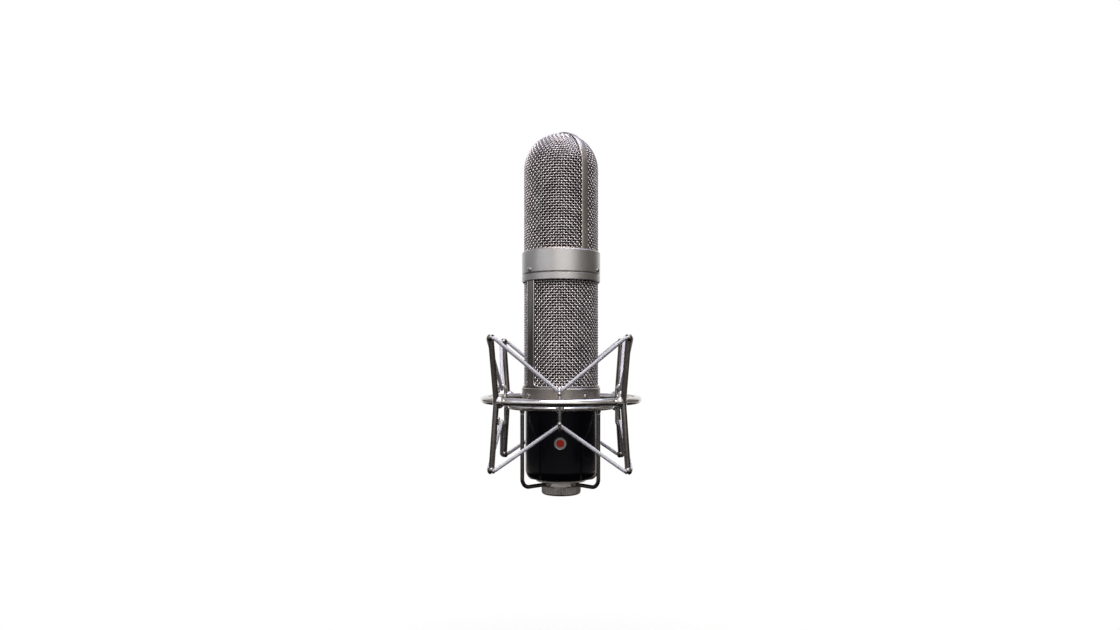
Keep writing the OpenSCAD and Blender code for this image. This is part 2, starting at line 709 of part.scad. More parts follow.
seam_bevel = 1.6 * collar_bevel;
module middle_ring() color("silver") at_microphone()
    rotate_extrude($fn = 128)
        polygon([
            [lip_r, middle_z],
            [collar_r - collar_bevel, middle_z],
            [collar_r, middle_z + collar_bevel],
            [collar_r, seam_z - seam_bevel],
            [collar_r - seam_bevel, seam_z],
            [collar_bore_r, seam_z],
            [collar_bore_r, middle_ledge_z],
            [lip_r, middle_ledge_z]
        ]);

// The upper motor's leads go through their own hole, and down beside the lower motor
deck_rim = 4;
deck_web = 2.5;
lead_hole_r = 3;
lead_pass = around(lower_rib_turn + 90, pole_t / 2 + lead_hole_r + seat, 0);
module middle_deck() color("darkgray") at_microphone()
    difference() {
        translate([0, 0, middle_ledge_z]) cylinder(r = deck_r, h = middle_deck_h, $fn = 128);
        translate([0, 0, middle_ledge_z + deck_web])
            cylinder(r = deck_r - deck_rim, h = middle_deck_h, $fn = 128);
        translate(lead_pass + [0, 0, middle_ledge_z - eps])
            cylinder(r = lead_hole_r, h = middle_deck_h, $fn = 48);
        for (t = middle_screw_turns) radial_hole(t, middle_screw_z);
    }

module middle_collar() color("silver") at_microphone()
    difference() {
        rotate_extrude($fn = 128)
            polygon([
                [collar_bore_r, seam_z],
                [collar_r - collar_bevel, seam_z],
                [collar_r, seam_z + collar_bevel],
                [collar_r, upper_grille_z - collar_bevel],
                [collar_r - collar_bevel, upper_grille_z],
                [lip_r, upper_grille_z],
                [lip_r, upper_ledge_z],
                [collar_bore_r, upper_ledge_z]
            ]);
        for (t = middle_screw_turns) radial_hole(t, middle_screw_z);
    }
module middle_collar_screws() color("gainsboro") at_microphone()
    for (t = middle_screw_turns) radial_screw(t, middle_screw_z);

// Grille frames, woven shells and gauze liners

window_low = lower_grille_z + window_edge;
window_high = middle_z - window_edge;
rib_angle = rib_w / frame_r * 180 / PI;

// One corner of a window stays filled, outside its rounding
module window_corner(turn, z, right, up)
    to_turn(turn) translate([0, 0, z]) rotate([90, 0, 90])
        translate([0, 0, frame_r - 2])
            linear_extrude(4)
                polygon(concat(
                    [[-0.3 * right, -0.3 * up]],
                    [for (a = [186, 200, 215, 225, 235, 250, 264])
                        window_corner_r * [right * (1 + cos(a)), up * (1 + sin(a))]]
                ));

module window(turn) {
    half = 90 - rib_angle / 2;
    difference() {
        to_turn(turn - half)
            rotate_extrude(angle = 2 * half, $fn = 128)
                translate([frame_r - 1, window_low]) square([frame_t + 2, window_high - window_low]);
        window_corner(turn - half, window_low, 1, 1);
        window_corner(turn + half, window_low, -1, 1);
        window_corner(turn - half, window_high, 1, -1);
        window_corner(turn + half, window_high, -1, -1);
    }
}

module lower_frame() color("silver") at_microphone()
    difference() {
        tube(frame_r + frame_t, frame_r, lower_ledge_z, middle_ledge_z - lower_ledge_z);
        window(lower_rib_turn + 90);
        window(lower_rib_turn - 90);
    }

lower_weave_h = middle_ledge_z - lower_ledge_z - 2 * wire_r;
module lower_mesh(turn) color("rosybrown") at_microphone()
    translate([0, 0, middle_ledge_z - wire_r]) woven_shell(turn, lower_weave_h, false);
module lower_mesh_front() lower_mesh(lower_rib_turn + 90);
module lower_mesh_back() lower_mesh(lower_rib_turn - 90);

module lower_gauze() color([0.15, 0.14, 0.15]) at_microphone()
    tube(gauze_r, gauze_r - gauze_t, lower_ledge_z, middle_ledge_z - lower_ledge_z);

// A wall of revolution: a straight tube with a half sphere on top
module domed_wall(outer, inner, low) {
    rotate_extrude($fn = 128) {
        translate([inner, low]) square([outer - inner, dome_z - low]);
        translate([0, dome_z]) intersection() {
            difference() {
                circle(r = outer, $fn = 128);
                circle(r = inner, $fn = 128);
            }
            square([outer + eps, outer + eps]);
        }
    }
}

module upper_frame() color("silver") at_microphone() {
    intersection() {
        domed_wall(frame_r + frame_t, frame_r, upper_ledge_z);
        union() {
            rotate([0, 0, upper_rib_turn]) translate([-hoop_w / 2, -2 * mesh_r, 0])
                cube([hoop_w, 4 * mesh_r, dome_z + 2 * mesh_r]);
            cylinder(r = 2 * mesh_r, h = upper_grille_z + window_edge / 2, $fn = 64);
        }
    }
}

upper_weave_h = dome_z - upper_ledge_z - wire_r;
module upper_mesh(turn) color("rosybrown") at_microphone()
    translate([0, 0, dome_z]) woven_shell(turn, upper_weave_h, true);
module upper_mesh_left() upper_mesh(upper_rib_turn - 90);
module upper_mesh_right() upper_mesh(upper_rib_turn + 90);

module upper_gauze() color([0.15, 0.14, 0.15]) at_microphone()
    domed_wall(gauze_r, gauze_r - gauze_t, upper_ledge_z);

// Ribbon motors. Each is drawn about its own centre, with the ribbon's face towards +X.

magnet_gap = pole_window_w - 2 * (magnet_w + seat);
magnet_inset = 0.5;
ribbon_h = pole_window_h - 2 * clamp_h + 1;

module at_motor(z, rib_turn) at_microphone() to_turn(rib_turn + 90) translate([0, 0, z]) children();
module centred(w, t, h) translate([-t / 2, -w / 2, -h / 2]) cube([t, w, h]);

module pole_frame() color("slategray")
    difference() {
        centred(pole_w, pole_t, pole_h);
        centred(pole_window_w, 2 * pole_t, pole_window_h);
    }
module magnets() color("dimgray")
    for (s = [-1, 1])
        translate([0, s * (pole_window_w - magnet_w - 2 * seat) / 2, 0])
            centred(magnet_w, pole_t - 2 * magnet_inset, pole_window_h - 2 * seat);
module ribbon_foil() color("whitesmoke") {
    folds = floor(ribbon_h / ribbon_fold);
    wave = 0.35;
    start = -folds * ribbon_fold / 2;
    front = [for (i = [0:2 * folds])
        [(i % 2) * wave - wave / 2 + ribbon_t / 2, start + i * ribbon_fold / 2]];
    back = [for (i = [2 * folds:-1:0])
        [(i % 2) * wave - wave / 2 - ribbon_t / 2, start + i * ribbon_fold / 2]];
    translate([0, ribbon_w / 2, 0]) rotate([90, 0, 0])
        linear_extrude(ribbon_w) polygon(concat(front, back));
}
// Each clamp is two jaws, one on each side of the ribbon's end
module ribbon_clamps() color("burlywood") {
    jaw_t = 2.5;
    slot = ribbon_t + 0.35 + 2 * seat;
    for (s = [-1, 1], side = [-1, 1])
        translate([side * (slot + jaw_t) / 2, 0, s * (pole_window_h / 2 - clamp_h / 2 - seat)])
            centred(magnet_gap - 4 * seat, jaw_t, clamp_h);
}
module standoffs(length) color("silver")
    for (s = [-1, 1])
        translate([0, s * (pole_w / 2 - standoff_r - 1), -pole_h / 2 - length])
            cylinder(r = standoff_r, h = length, $fn = 6);

module lower_pole_frame() at_motor(lower_motor_z, lower_rib_turn) pole_frame();
module lower_magnets() at_motor(lower_motor_z, lower_rib_turn) magnets();
module lower_ribbon() at_motor(lower_motor_z, lower_rib_turn) ribbon_foil();
module lower_ribbon_clamps() at_motor(lower_motor_z, lower_rib_turn) ribbon_clamps();
module lower_standoffs() at_motor(lower_motor_z, lower_rib_turn) standoffs(lower_standoff_h);
module upper_pole_frame() at_motor(upper_motor_z, upper_rib_turn) pole_frame();
module upper_magnets() at_motor(upper_motor_z, upper_rib_turn) magnets();
module upper_ribbon() at_motor(upper_motor_z, upper_rib_turn) ribbon_foil();
module upper_ribbon_clamps() at_motor(upper_motor_z, upper_rib_turn) ribbon_clamps();
module upper_standoffs() at_motor(upper_motor_z, upper_rib_turn)
    standoffs(upper_standoff_h + middle_deck_h - deck_web);

// Leads, from the foot of each motor through the decks to the transformers, and on to the pins
lead_up = [0.31, 0.9, 0.27];
lead_foot_z = lower_deck_z + seat;
lead_spread = lead_hole_r / 2;
module ribbon_leads() color("crimson") at_microphone()
    for (side = [-1, 1]) {
        lower = [side * deck_hole_r * 0.6, deck_hole_r * 0.3, 0];
        upper = [side * deck_hole_r * 0.25, -deck_hole_r * 0.6, 0];
        beside = lead_pass + around(lower_rib_turn, -side * lead_spread, 0);
        motor_foot = [0, 0, upper_motor_z - pole_h / 2 - seat];
        swept([
            lower + [0, 0, lower_motor_z - pole_h / 2 - seat],
            lower + [0, 0, lower_ledge_z - lower_deck_t / 4],
            lower + [0, 0, lead_foot_z]
        ], lead_r, 6, lead_up);
        swept([
            upper + motor_foot,
            upper + motor_foot - [0, 0, upper_standoff_h / 5],
            beside + [0, 0, middle_ledge_z + middle_deck_h],
            beside + [0, 0, lower_ledge_z + lower_standoff_h * 0.6],
            upper + [0, 0, lower_ledge_z + lower_standoff_h / 6],
            upper + [0, 0, lead_foot_z]
        ], lead_r, 6, lead_up);
    }

lead_low = lower_deck_z - transformer_h - clamp_plate_t;
module output_leads() color("crimson") at_microphone()
    for (i = [0:pin_count - 1]) {
        pin = around(pin_turn(i), pin_circle_r, 0);
        swept([
            pin + [0, 0, pin_top + seat],
            pin + [0, 0, pin_top + 3],
            pin * 0.6 + [0, 0, lead_low - 3],
            pin * 0.6 + [0, 0, lead_low + clamp_plate_t - seat]
        ], lead_r, 6, lead_up);
    }

stand_socket();
tilt_screw();
ring_bracket();
outer_ring();
outer_arm_front_left();
outer_arm_front_right();
outer_arm_back_left();
outer_arm_back_right();
elastic_cord_top();
elastic_cord_bottom();
cradle_hub();
cradle_ring();
cradle_wire_front_left();
cradle_wire_front_right();
cradle_wire_back_left();
cradle_wire_back_right();
hook_post_front();
hook_post_right();
hook_post_back();
hook_post_left();
ring_nut();
base_plate();
base_screws();
connector_insert();
connector_pins();
body_shell();
front_medallion();
lower_collar();
lower_collar_screws();
lower_deck();
transformer_left();
transformer_right();
transformer_clamp();
transformer_bolts();
lower_frame();
lower_mesh_front();
lower_mesh_back();
lower_gauze();
middle_ring();
middle_deck();
middle_collar();
middle_collar_screws();
upper_frame();
upper_mesh_left();
upper_mesh_right();
upper_gauze();
lower_pole_frame();
lower_magnets();
lower_ribbon();
lower_ribbon_clamps();
lower_standoffs();
upper_pole_frame();
upper_magnets();
upper_ribbon();
upper_ribbon_clamps();
upper_standoffs();
ribbon_leads();
output_leads();
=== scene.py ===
"""Looks of the stereo ribbon microphone in its elastic cradle mount, in metres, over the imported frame."""

import math

import bmesh
import bpy
import numpy as np
from mathutils import Matrix, Vector


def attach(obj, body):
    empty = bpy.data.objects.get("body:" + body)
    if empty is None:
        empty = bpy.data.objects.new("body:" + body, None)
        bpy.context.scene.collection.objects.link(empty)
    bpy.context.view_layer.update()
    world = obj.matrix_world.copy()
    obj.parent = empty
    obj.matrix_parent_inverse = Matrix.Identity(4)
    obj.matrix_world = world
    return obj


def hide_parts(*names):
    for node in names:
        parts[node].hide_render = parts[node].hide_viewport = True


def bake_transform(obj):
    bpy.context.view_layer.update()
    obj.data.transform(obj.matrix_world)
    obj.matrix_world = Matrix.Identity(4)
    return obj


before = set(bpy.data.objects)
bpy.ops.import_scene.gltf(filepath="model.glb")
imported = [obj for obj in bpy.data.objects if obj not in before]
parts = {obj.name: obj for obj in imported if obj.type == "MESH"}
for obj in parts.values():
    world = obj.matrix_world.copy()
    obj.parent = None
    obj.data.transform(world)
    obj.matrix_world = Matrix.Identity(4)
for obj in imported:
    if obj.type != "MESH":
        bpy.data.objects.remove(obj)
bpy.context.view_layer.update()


# The camera stands 540 mm from the microphone's axis, 26 mm above the outer ring, a touch to the right.
# A wide lens close up gives the same view down on the outer ring as in the photograph.
# The axis stands 70 mm in front of the stand socket's, and heights on it count from the ring nut's underside.
axis_y, nut_foot_z = -70.0, -28.0
camera_turn = math.radians(1.3)
camera_distance = 0.54
camera_height = 0.064
bpy.ops.object.camera_add(
    location=(camera_distance * math.sin(camera_turn),
              axis_y / 1000 - camera_distance * math.cos(camera_turn),
              camera_height),
    rotation=(math.pi / 2, 0, camera_turn),
)
camera = bpy.context.object
camera.data.lens = 24.8
camera.data.sensor_width = 36
camera.data.shift_x = -0.001
camera.data.shift_y = 0.042
bpy.context.scene.camera = camera
bpy.context.scene.view_settings.view_transform = "Standard"
bpy.context.view_layer.update()


# Plain pale studio: a white room, with a pale floor well below, as the microphone hangs high on its stand.
# The room looks white to the eye and in the metal, but sends the object little light, most of it from above.
def linear(code):
    """An sRGB hex colour as the linear RGBA that a shader takes."""
    values = [int(code[i:i + 2], 16) / 255 for i in (1, 3, 5)]
    return [v / 12.92 if v <= 0.04045 else ((v + 0.055) / 1.055) ** 2.4 for v in values] + [1]


def add_node(tree, kind, settings, links):
    """A shader node with its inputs or properties set, and with links from other nodes' outputs."""
    node = tree.nodes.new("ShaderNode" + kind)
    for key, value in settings.items():
        if isinstance(key, int) or key in node.inputs:
            node.inputs[key].default_value = value
        else:
            setattr(node, key, value)
    for key, source in links.items():
        tree.links.new(source, node.inputs[key])
    return node


def blank_material(name):
    material = bpy.data.materials.new(name)
    material.use_nodes = True
    material.node_tree.nodes.clear()
    return material, material.node_tree


def seen_directly(tree):
    """One for rays from the eye, straight or by way of a mirror or glass, and nought for the others."""
    path = add_node(tree, "LightPath", {}, {})
    mirrored = add_node(tree, "Math", {"operation": "MAXIMUM"},
                        {0: path.outputs["Is Glossy Ray"], 1: path.outputs["Is Transmission Ray"]})
    either = add_node(tree, "Math", {"operation": "MAXIMUM"},
                      {0: path.outputs["Is Camera Ray"], 1: mirrored.outputs[0]})
    return either.outputs[0]


world = bpy.data.worlds.new("studio_room")
bpy.context.scene.world = world
world.use_nodes = True
tree = world.node_tree
tree.nodes.clear()
direction = add_node(tree, "TexCoord", {}, {})
upward = add_node(tree, "SeparateXYZ", {}, {"Vector": direction.outputs["Generated"]})
ceiling = add_node(tree, "MapRange", {"From Min": -0.35, "From Max": 0.55, "To Min": 0.05, "To Max": 0.45},
                   {"Value": upward.outputs["Z"]})
room_light = add_node(tree, "MapRange", {"To Max": 1.0},
                      {"Value": seen_directly(tree), "To Min": ceiling.outputs[0]})
room = add_node(tree, "Background", {"Color": linear("#ffffff")}, {"Strength": room_light.outputs[0]})
add_node(tree, "OutputWorld", {}, {"Surface": room.outputs[0]})

bpy.ops.object.select_all(action="DESELECT")
bpy.ops.mesh.primitive_circle_add(vertices=96, radius=6.0, fill_type="NGON", location=(0, 0, -0.30))
floor = bpy.context.object
floor.name = "pale_floor"
# Matt paint: off white below the microphone, and further out it fades into the white of the room
paint, tree = blank_material("matt_white_floor_paint")
place = add_node(tree, "TexCoord", {}, {})
reach = add_node(tree, "VectorMath", {"operation": "LENGTH"}, {0: place.outputs["Object"]})
far = add_node(tree, "MapRange", {"interpolation_type": "SMOOTHSTEP", "From Min": 0.30, "From Max": 0.55},
               {"Value": reach.outputs["Value"]})
blank = add_node(tree, "Math", {"operation": "MULTIPLY"}, {0: far.outputs[0], 1: seen_directly(tree)})
matt = add_node(tree, "BsdfDiffuse", {"Color": linear("#f2f1ef")}, {})
white = add_node(tree, "Emission", {"Color": linear("#ffffff"), "Strength": 1.0}, {})
both = add_node(tree, "MixShader", {}, {0: blank.outputs[0], 1: matt.outputs[0], 2: white.outputs[0]})
add_node(tree, "OutputMaterial", {}, {"Surface": both.outputs[0]})
floor.data.materials.append(paint)
floor.visible_diffuse = False


# Cloths round the set, out of the picture: a screen, bright in front above the camera and grey at the sides,
# a dark cloth on the ground, and a pale blue one overhead. Their reflections give the satin collars a broad
# highlight, and the rods and the lacquer their dark lower parts.
def pick_faces(piece, wanted):
    """In edit mode, selects just the faces that a test wants."""
    form = bmesh.from_edit_mesh(piece.data)
    for face in form.faces:
        face.select = wanted(face)
    bmesh.update_edit_mesh(piece.data)


room_r = 1.9
bpy.ops.object.select_all(action="DESELECT")
bpy.ops.mesh.primitive_cylinder_add(vertices=72, radius=room_r, depth=1.5, end_fill_type="NOTHING",
                                    location=(0.0, axis_y / 1000, 0.46))
screen = bpy.context.object
screen.name = "studio_screen"
# The screen is left open straight behind the microphone
bpy.ops.object.mode_set(mode="EDIT")
pick_faces(screen, lambda face: face.calc_center_median().y > 1.6)
bpy.ops.mesh.delete(type="FACE")
bpy.ops.object.mode_set(mode="OBJECT")
bpy.ops.object.select_all(action="DESELECT")
bpy.ops.mesh.primitive_plane_add(size=3.6, location=(0.0, -0.30, -0.29))
ground_cloth = bpy.context.object
ground_cloth.name = "dark_ground_cloth"
bpy.ops.object.select_all(action="DESELECT")
bpy.ops.mesh.primitive_circle_add(vertices=72, radius=room_r, fill_type="NGON",
                                  location=(0.0, axis_y / 1000, 1.45))
top_cloth = bpy.context.object
top_cloth.name = "cool_top_cloth"

# The screen's light by its bearing in degrees, nought being the camera's side, with its warmth
screen_levels = ((-150, 0.75, 0.00), (-120, 0.30, -0.03), (-90, 0.32, -0.03), (-60, 0.40, -0.02),
                 (-35, 0.58, -0.01), (0, 1.0, 0.0), (22, 1.0, 0.01), (42, 0.55, 0.02),
                 (60, 0.22, 0.03), (90, 0.12, 0.05), (118, 0.12, 0.03), (150, 0.60, 0.0))
lit_cloth, tree = blank_material("unevenly_lit_cloth")
place = add_node(tree, "TexCoord", {}, {})
axes = add_node(tree, "SeparateXYZ", {}, {"Vector": place.outputs["Object"]})
forward = add_node(tree, "Math", {"operation": "MULTIPLY", 1: -1.0}, {0: axes.outputs["Y"]})
bearing = add_node(tree, "Math", {"operation": "ARCTAN2"}, {0: axes.outputs["X"], 1: forward.outputs[0]})
share = add_node(tree, "MapRange", {"From Min": -math.pi, "From Max": math.pi}, {"Value": bearing.outputs[0]})
levels = add_node(tree, "ValToRGB", {}, {"Fac": share.outputs[0]})
levels.color_ramp.interpolation = "EASE"
for degrees, level, warmth in screen_levels:
    stop = levels.color_ramp.elements.new((degrees + 180) / 360)
    stop.color = (level * (1 + warmth), level, level * (1 - 1.6 * warmth), 1)
levels.color_ramp.elements.remove(levels.color_ramp.elements[0])
levels.color_ramp.elements.remove(levels.color_ramp.elements[-1])
above = add_node(tree, "MapRange",
                 {"interpolation_type": "SMOOTHSTEP", "From Min": -0.46, "From Max": 0.00,
                  "To Min": 0.16, "To Max": 1.5},
                 {"Value": axes.outputs["Z"]})
glow = add_node(tree, "Emission", {}, {"Color": levels.outputs["Color"], "Strength": above.outputs[0]})
add_node(tree, "OutputMaterial", {}, {"Surface": glow.outputs[0]})

dark_cloth, tree = blank_material("dark_cloth")
place = add_node(tree, "TexCoord", {}, {})
reach = add_node(tree, "VectorMath", {"operation": "LENGTH"}, {0: place.outputs["Object"]})
dim = add_node(tree, "MapRange",
               {"interpolation_type": "SMOOTHSTEP", "From Min": 0.9, "From Max": 1.7,
                "To Min": 0.02, "To Max": 0.70},
               {"Value": reach.outputs["Value"]})
glow = add_node(tree, "Emission", {"Color": linear("#fff8f2")}, {"Strength": dim.outputs[0]})
add_node(tree, "OutputMaterial", {}, {"Surface": glow.outputs[0]})

blue_cloth, tree = blank_material("pale_blue_cloth")
glow = add_node(tree, "Emission", {"Color": linear("#e3e5f6"), "Strength": 0.62}, {})
add_node(tree, "OutputMaterial", {}, {"Surface": glow.outputs[0]})

for cloth, material in ((screen, lit_cloth), (ground_cloth, dark_cloth), (top_cloth, blue_cloth)):
    cloth.data.materials.append(material)
    cloth.visible_camera = False
    cloth.visible_diffuse = False
    cloth.visible_shadow = False
    cloth.visible_transmission = False

# The lamps all aim at the lower grille
for name, colour, energy, size, place in (
    ("soft_key", "#fffaf4", 28.0, 1.0, (-0.05, -0.75, 1.35)),
    ("soft_fill_left", "#f4f6ff", 2.0, 1.1, (-1.0, -0.85, 0.75)),
    ("cool_top", "#d9e2ff", 5.0, 0.6, (0.30, 0.10, 1.15)),
):
    bpy.ops.object.light_add(type="AREA", location=place)
    lamp = bpy.context.object
    lamp.name = name
    lamp.data.energy = energy
    lamp.data.size = size
    lamp.data.color = linear(colour)[:3]
    aim = Vector((0, axis_y / 1000, 0.10)) - lamp.location
    lamp.rotation_euler = aim.to_track_quat("-Z", "Y").to_euler()
bpy.context.view_layer.update()


# The stand socket with its clevis: a zinc casting, turned at the socket and plated a dark satin grey.
# It is screwed on the microphone stand by its thread, and the tilt screw clamps its two ears.
def finish_surface(tree, settings, links):
    """Ends a material with its shader, given its plain settings and what feeds the others."""
    shader = add_node(tree, "BsdfPrincipled", settings, links)
    add_node(tree, "OutputMaterial", {}, {"Surface": shader.outputs[0]})


def two_toned(name, tones, patches, grain, dull, relief, plain, share=(0.0, 1.0), dulled_by="patches"):
    """Two tones in patches, and a grain in relief, both by their settings of noise. One of the two also dulls
    the surface: from its level dull[0] to dull[1], the roughness goes from dull[2] to dull[3]."""
    material, tree = blank_material(name)
    place = add_node(tree, "TexCoord", {}, {})
    noise = {}
    for use, settings in (("patches", patches), ("grain", grain)):
        noise[use] = add_node(tree, "TexNoise", settings, {"Vector": place.outputs["Object"]})
    amount = add_node(tree, "MapRange", {"From Min": share[0], "From Max": share[1]},
                      {"Value": noise["patches"].outputs["Fac"]})
    tint = add_node(tree, "Mix", {"data_type": "RGBA", 6: linear(tones[0]), 7: linear(tones[1])},
                    {0: amount.outputs[0]})
    gloss = add_node(tree, "MapRange", dict(zip(("From Min", "From Max", "To Min", "To Max"), dull)),
                     {"Value": noise[dulled_by].outputs["Fac"]})
    bump = add_node(tree, "Bump", {"Strength": relief[0], "Distance": relief[1]},
                    {"Height": noise["grain"].outputs["Fac"]})
    finish_surface(tree, plain, {"Base Color": tint.outputs[2], "Roughness": gloss.outputs[0],
                                 "Normal": bump.outputs[0]})
    return material


# Cast and plated: a grain of about 0.7 mm under the plating, and dust that dulls it in patches of some 11 mm
stand_plating = two_toned("dark_satin_plated_casting", ("#2b2b2d", "#3d3b3a"),
                          patches={"Scale": 90.0, "Detail": 4.0, "Roughness": 0.55},
                          grain={"Scale": 1400.0, "Detail": 3.0, "Roughness": 0.6},
                          dull=(0.3, 0.7, 0.34, 0.5), relief=(0.25, 0.0002), plain={"Metallic": 0.85})


def dress(material, *names):
    """Gives the solids of the frame a material in place of their plain one."""
    for name in names:
        parts[name].material_slots[0].material = material


dress(stand_plating, "stand_socket")


# The tilt screw and its six-lobed knob: turned steel, nickelled, with a satin grip.
# Its shank runs through both ears of the clevis and the tongue between them.
def nickel_plate(name, bright, tarnish, polish, dullness, patch, scratch):
    """Nickel over drawn or turned metal: tarnish in patches and fine rubbing marks, both sized in metres."""
    return two_toned(name, (bright, tarnish), share=(0.38, 0.7),
                     patches={"Scale": 1 / patch, "Detail": 5.0, "Roughness": 0.6},
                     grain={"Scale": 1 / scratch, "Detail": 2.0, "Distortion": 0.6},
                     dull=(0.3, 0.7, polish, dullness), dulled_by="grain", relief=(0.12, 0.0001),
                     plain={"Metallic": 1.0})


# Knurled nickel: greyer than the polished rods, because its ridges hold a little dirt and scatter the light
knurled_nickel = nickel_plate("knurled_nickel_plate", "#cdc8c3", "#a9a39e",
                              polish=0.34, dullness=0.46, patch=0.006, scratch=0.0006)
dress(knurled_nickel, "tilt_screw")


# The bracket and the outer ring: drawn steel rod in bright nickel, bent round and butted at the back.
# There the bracket's tongue is brazed on, a casting that is plated dark like the stand socket.
dress(stand_plating, "ring_bracket")
# Bright nickel: nearly a mirror, a little warm, with faint clouding from handling
bright_nickel = nickel_plate("bright_nickel_plate", "#dad7d4", "#b8b2ae",
                             polish=0.12, dullness=0.19, patch=0.012, scratch=0.0012)
dress(bright_nickel, "outer_ring")


# Four outer arms: steel rod bent to stand off the ring above and below, with a forked ball at each end.
# They are brazed to the outside of the ring; their plating has gone brownish and is duller than the ring's.
arm_places = (("front_right", 45), ("back_right", 135), ("back_left", 225), ("front_left", 315))
arm_foot_r, ring_z = 56.3, 66.0
# Aged nickel: dark grey-brown, satin, with lighter streaks where it is rubbed
aged_nickel = nickel_plate("aged_dark_nickel_plate", "#857e7b", "#665e5b",
                           polish=0.20, dullness=0.30, patch=0.025, scratch=0.0012)
dress(aged_nickel, *("outer_arm_" + where for where, turn in arm_places))
to_frame = Matrix.Scale(0.001, 4) @ Matrix.Translation((0, axis_y, nut_foot_z))


def around(turn, out, up):
    """A point out from the microphone's axis: a turn of nought is the front, and 90 degrees the right."""
    a = math.radians(turn)
    return np.array([out * math.sin(a), -out * math.cos(a), up])


def at_microphone(points):
    """Millimetres about the microphone's axis to metres in the shared frame."""
    return (np.asarray(points, float) + [0.0, axis_y, nut_foot_z]) / 1000.0


def set_out(model, name, turn, out, up, stand=False):
    """A copy of a part modelled in millimetres: its Z goes outwards at a turn, or stays up."""
    a = math.radians(turn)
    outwards = Vector((math.sin(a), -math.cos(a), 0))
    across = Vector((math.cos(a), math.sin(a), 0))
    axes = (outwards, across, Vector((0, 0, 1))) if stand else (across, Vector((0, 0, 1)), outwards)
    turned = Matrix(axes).transposed().to_4x4()
    turned.translation = Vector(around(turn, out, up))
    mesh = model.data.copy()
    mesh.name = name
    mesh.transform(to_frame @ turned)
    piece = bpy.data.objects.new(name, mesh)
    bpy.context.scene.collection.objects.link(piece)
    return piece


def put_away(model):
    bpy.data.objects.remove(model, do_unlink=True)


# The braze between a ring and the rod that crosses it outside: a smooth saddle of metal that runs into both
def brazed_saddle(width, depth, height):
    bpy.ops.object.select_all(action="DESELECT")
    bpy.ops.mesh.primitive_cube_add(size=1)
    saddle = bpy.context.object
    bpy.ops.object.mode_set(mode="EDIT")
    bpy.ops.transform.resize(value=(depth, width, height))
    bpy.ops.mesh.subdivide(number_cuts=3, smoothness=1.0)
    bpy.ops.mesh.vertices_smooth(factor=0.5, repeat=2)
    bpy.ops.object.mode_set(mode="OBJECT")
    rounding = saddle.modifiers.new("rounding", "SUBSURF")
    rounding.levels = rounding.render_levels = 1
    bpy.ops.object.modifier_apply(modifier="rounding")
    bpy.ops.object.shade_smooth()
    return saddle


arm_saddle = brazed_saddle(width=6.4, depth=3.6, height=6.0)
for where, turn in arm_places:
    braze = set_out(arm_saddle, "braze_" + where, turn, arm_foot_r, ring_z, stand=True)
    braze.data.materials.append(bright_nickel)
    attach(braze, "outer_frame")
put_away(arm_saddle)


# Two elastic cords: rubber cores in a braided grey sleeve, each one endless loop laced to and fro.
# The upper loop runs from the fork of each arm's top ball to the hooks' upper ends, the lower one mirrors it.
cord_r = 1.25
cord_sides = 16
fork_half = 2.43
fork_mouth_half, fork_mouth_inwards = 3.325, 0.417
hook_reach, hook_half = 41.55, 1.2


def beside(turn, along, out, up):
    """A point out from the axis and then along to the side, to the right as seen from outside."""
    a = math.radians(turn)
    return along * np.array([math.cos(a), math.sin(a), 0.0]) + around(turn, out, up)


def laced_path(arm_reach, arm_z, hook_z, bend):
    """The corners of one loop, from fork to hook and on round; it leaves each a bend nearer to the next."""
    corners = []
    for where, turn in arm_places:
        mouth = [beside(turn, s * fork_mouth_half, arm_reach - fork_mouth_inwards, arm_z - bend)
                 for s in (-1, 1)]
        fork = [beside(turn, s * fork_half, arm_reach, arm_z) for s in (-1, 1)]
        corners += [mouth[0], fork[0], fork[1], mouth[1]]
        corners += [beside(turn + 45, s * hook_half, hook_reach, hook_z + (bend if abs(s) == 1 else 0.0))
                    for s in (-1, -0.35, 0.35, 1)]
    return np.array(corners)


def rounded_loop(corners):
    """Each corner becomes a short curve of five points, and each long stretch gets twelve more."""
    trim, largest_share, long_stretch = 1.1, 0.45, 6
    points = []
    for i, corner in enumerate(corners):
        before, after = corners[i - 1], corners[(i + 1) % len(corners)]
        back, ahead = before - corner, after - corner
        start = corner + back * min(trim / np.linalg.norm(back), largest_share)
        end = corner + ahead * min(trim / np.linalg.norm(ahead), largest_share)
        for t in np.linspace(0, 1, 5):
            points.append((1 - t) ** 2 * start + 2 * t * (1 - t) * corner + t * t * end)
        gap = np.linalg.norm(ahead)
        if gap > long_stretch:
            stop = after - ahead * min(trim / gap, largest_share)
            points += [end + (stop - end) * t for t in np.linspace(0, 1, 14)[1:-1]]
    return np.array(points)


def outward(piece):
    """Turns a closed shell's faces outwards."""
    shell = bmesh.new()
    shell.from_mesh(piece.data)
    bmesh.ops.recalc_face_normals(shell, faces=shell.faces)
    shell.to_mesh(piece.data)
    shell.free()


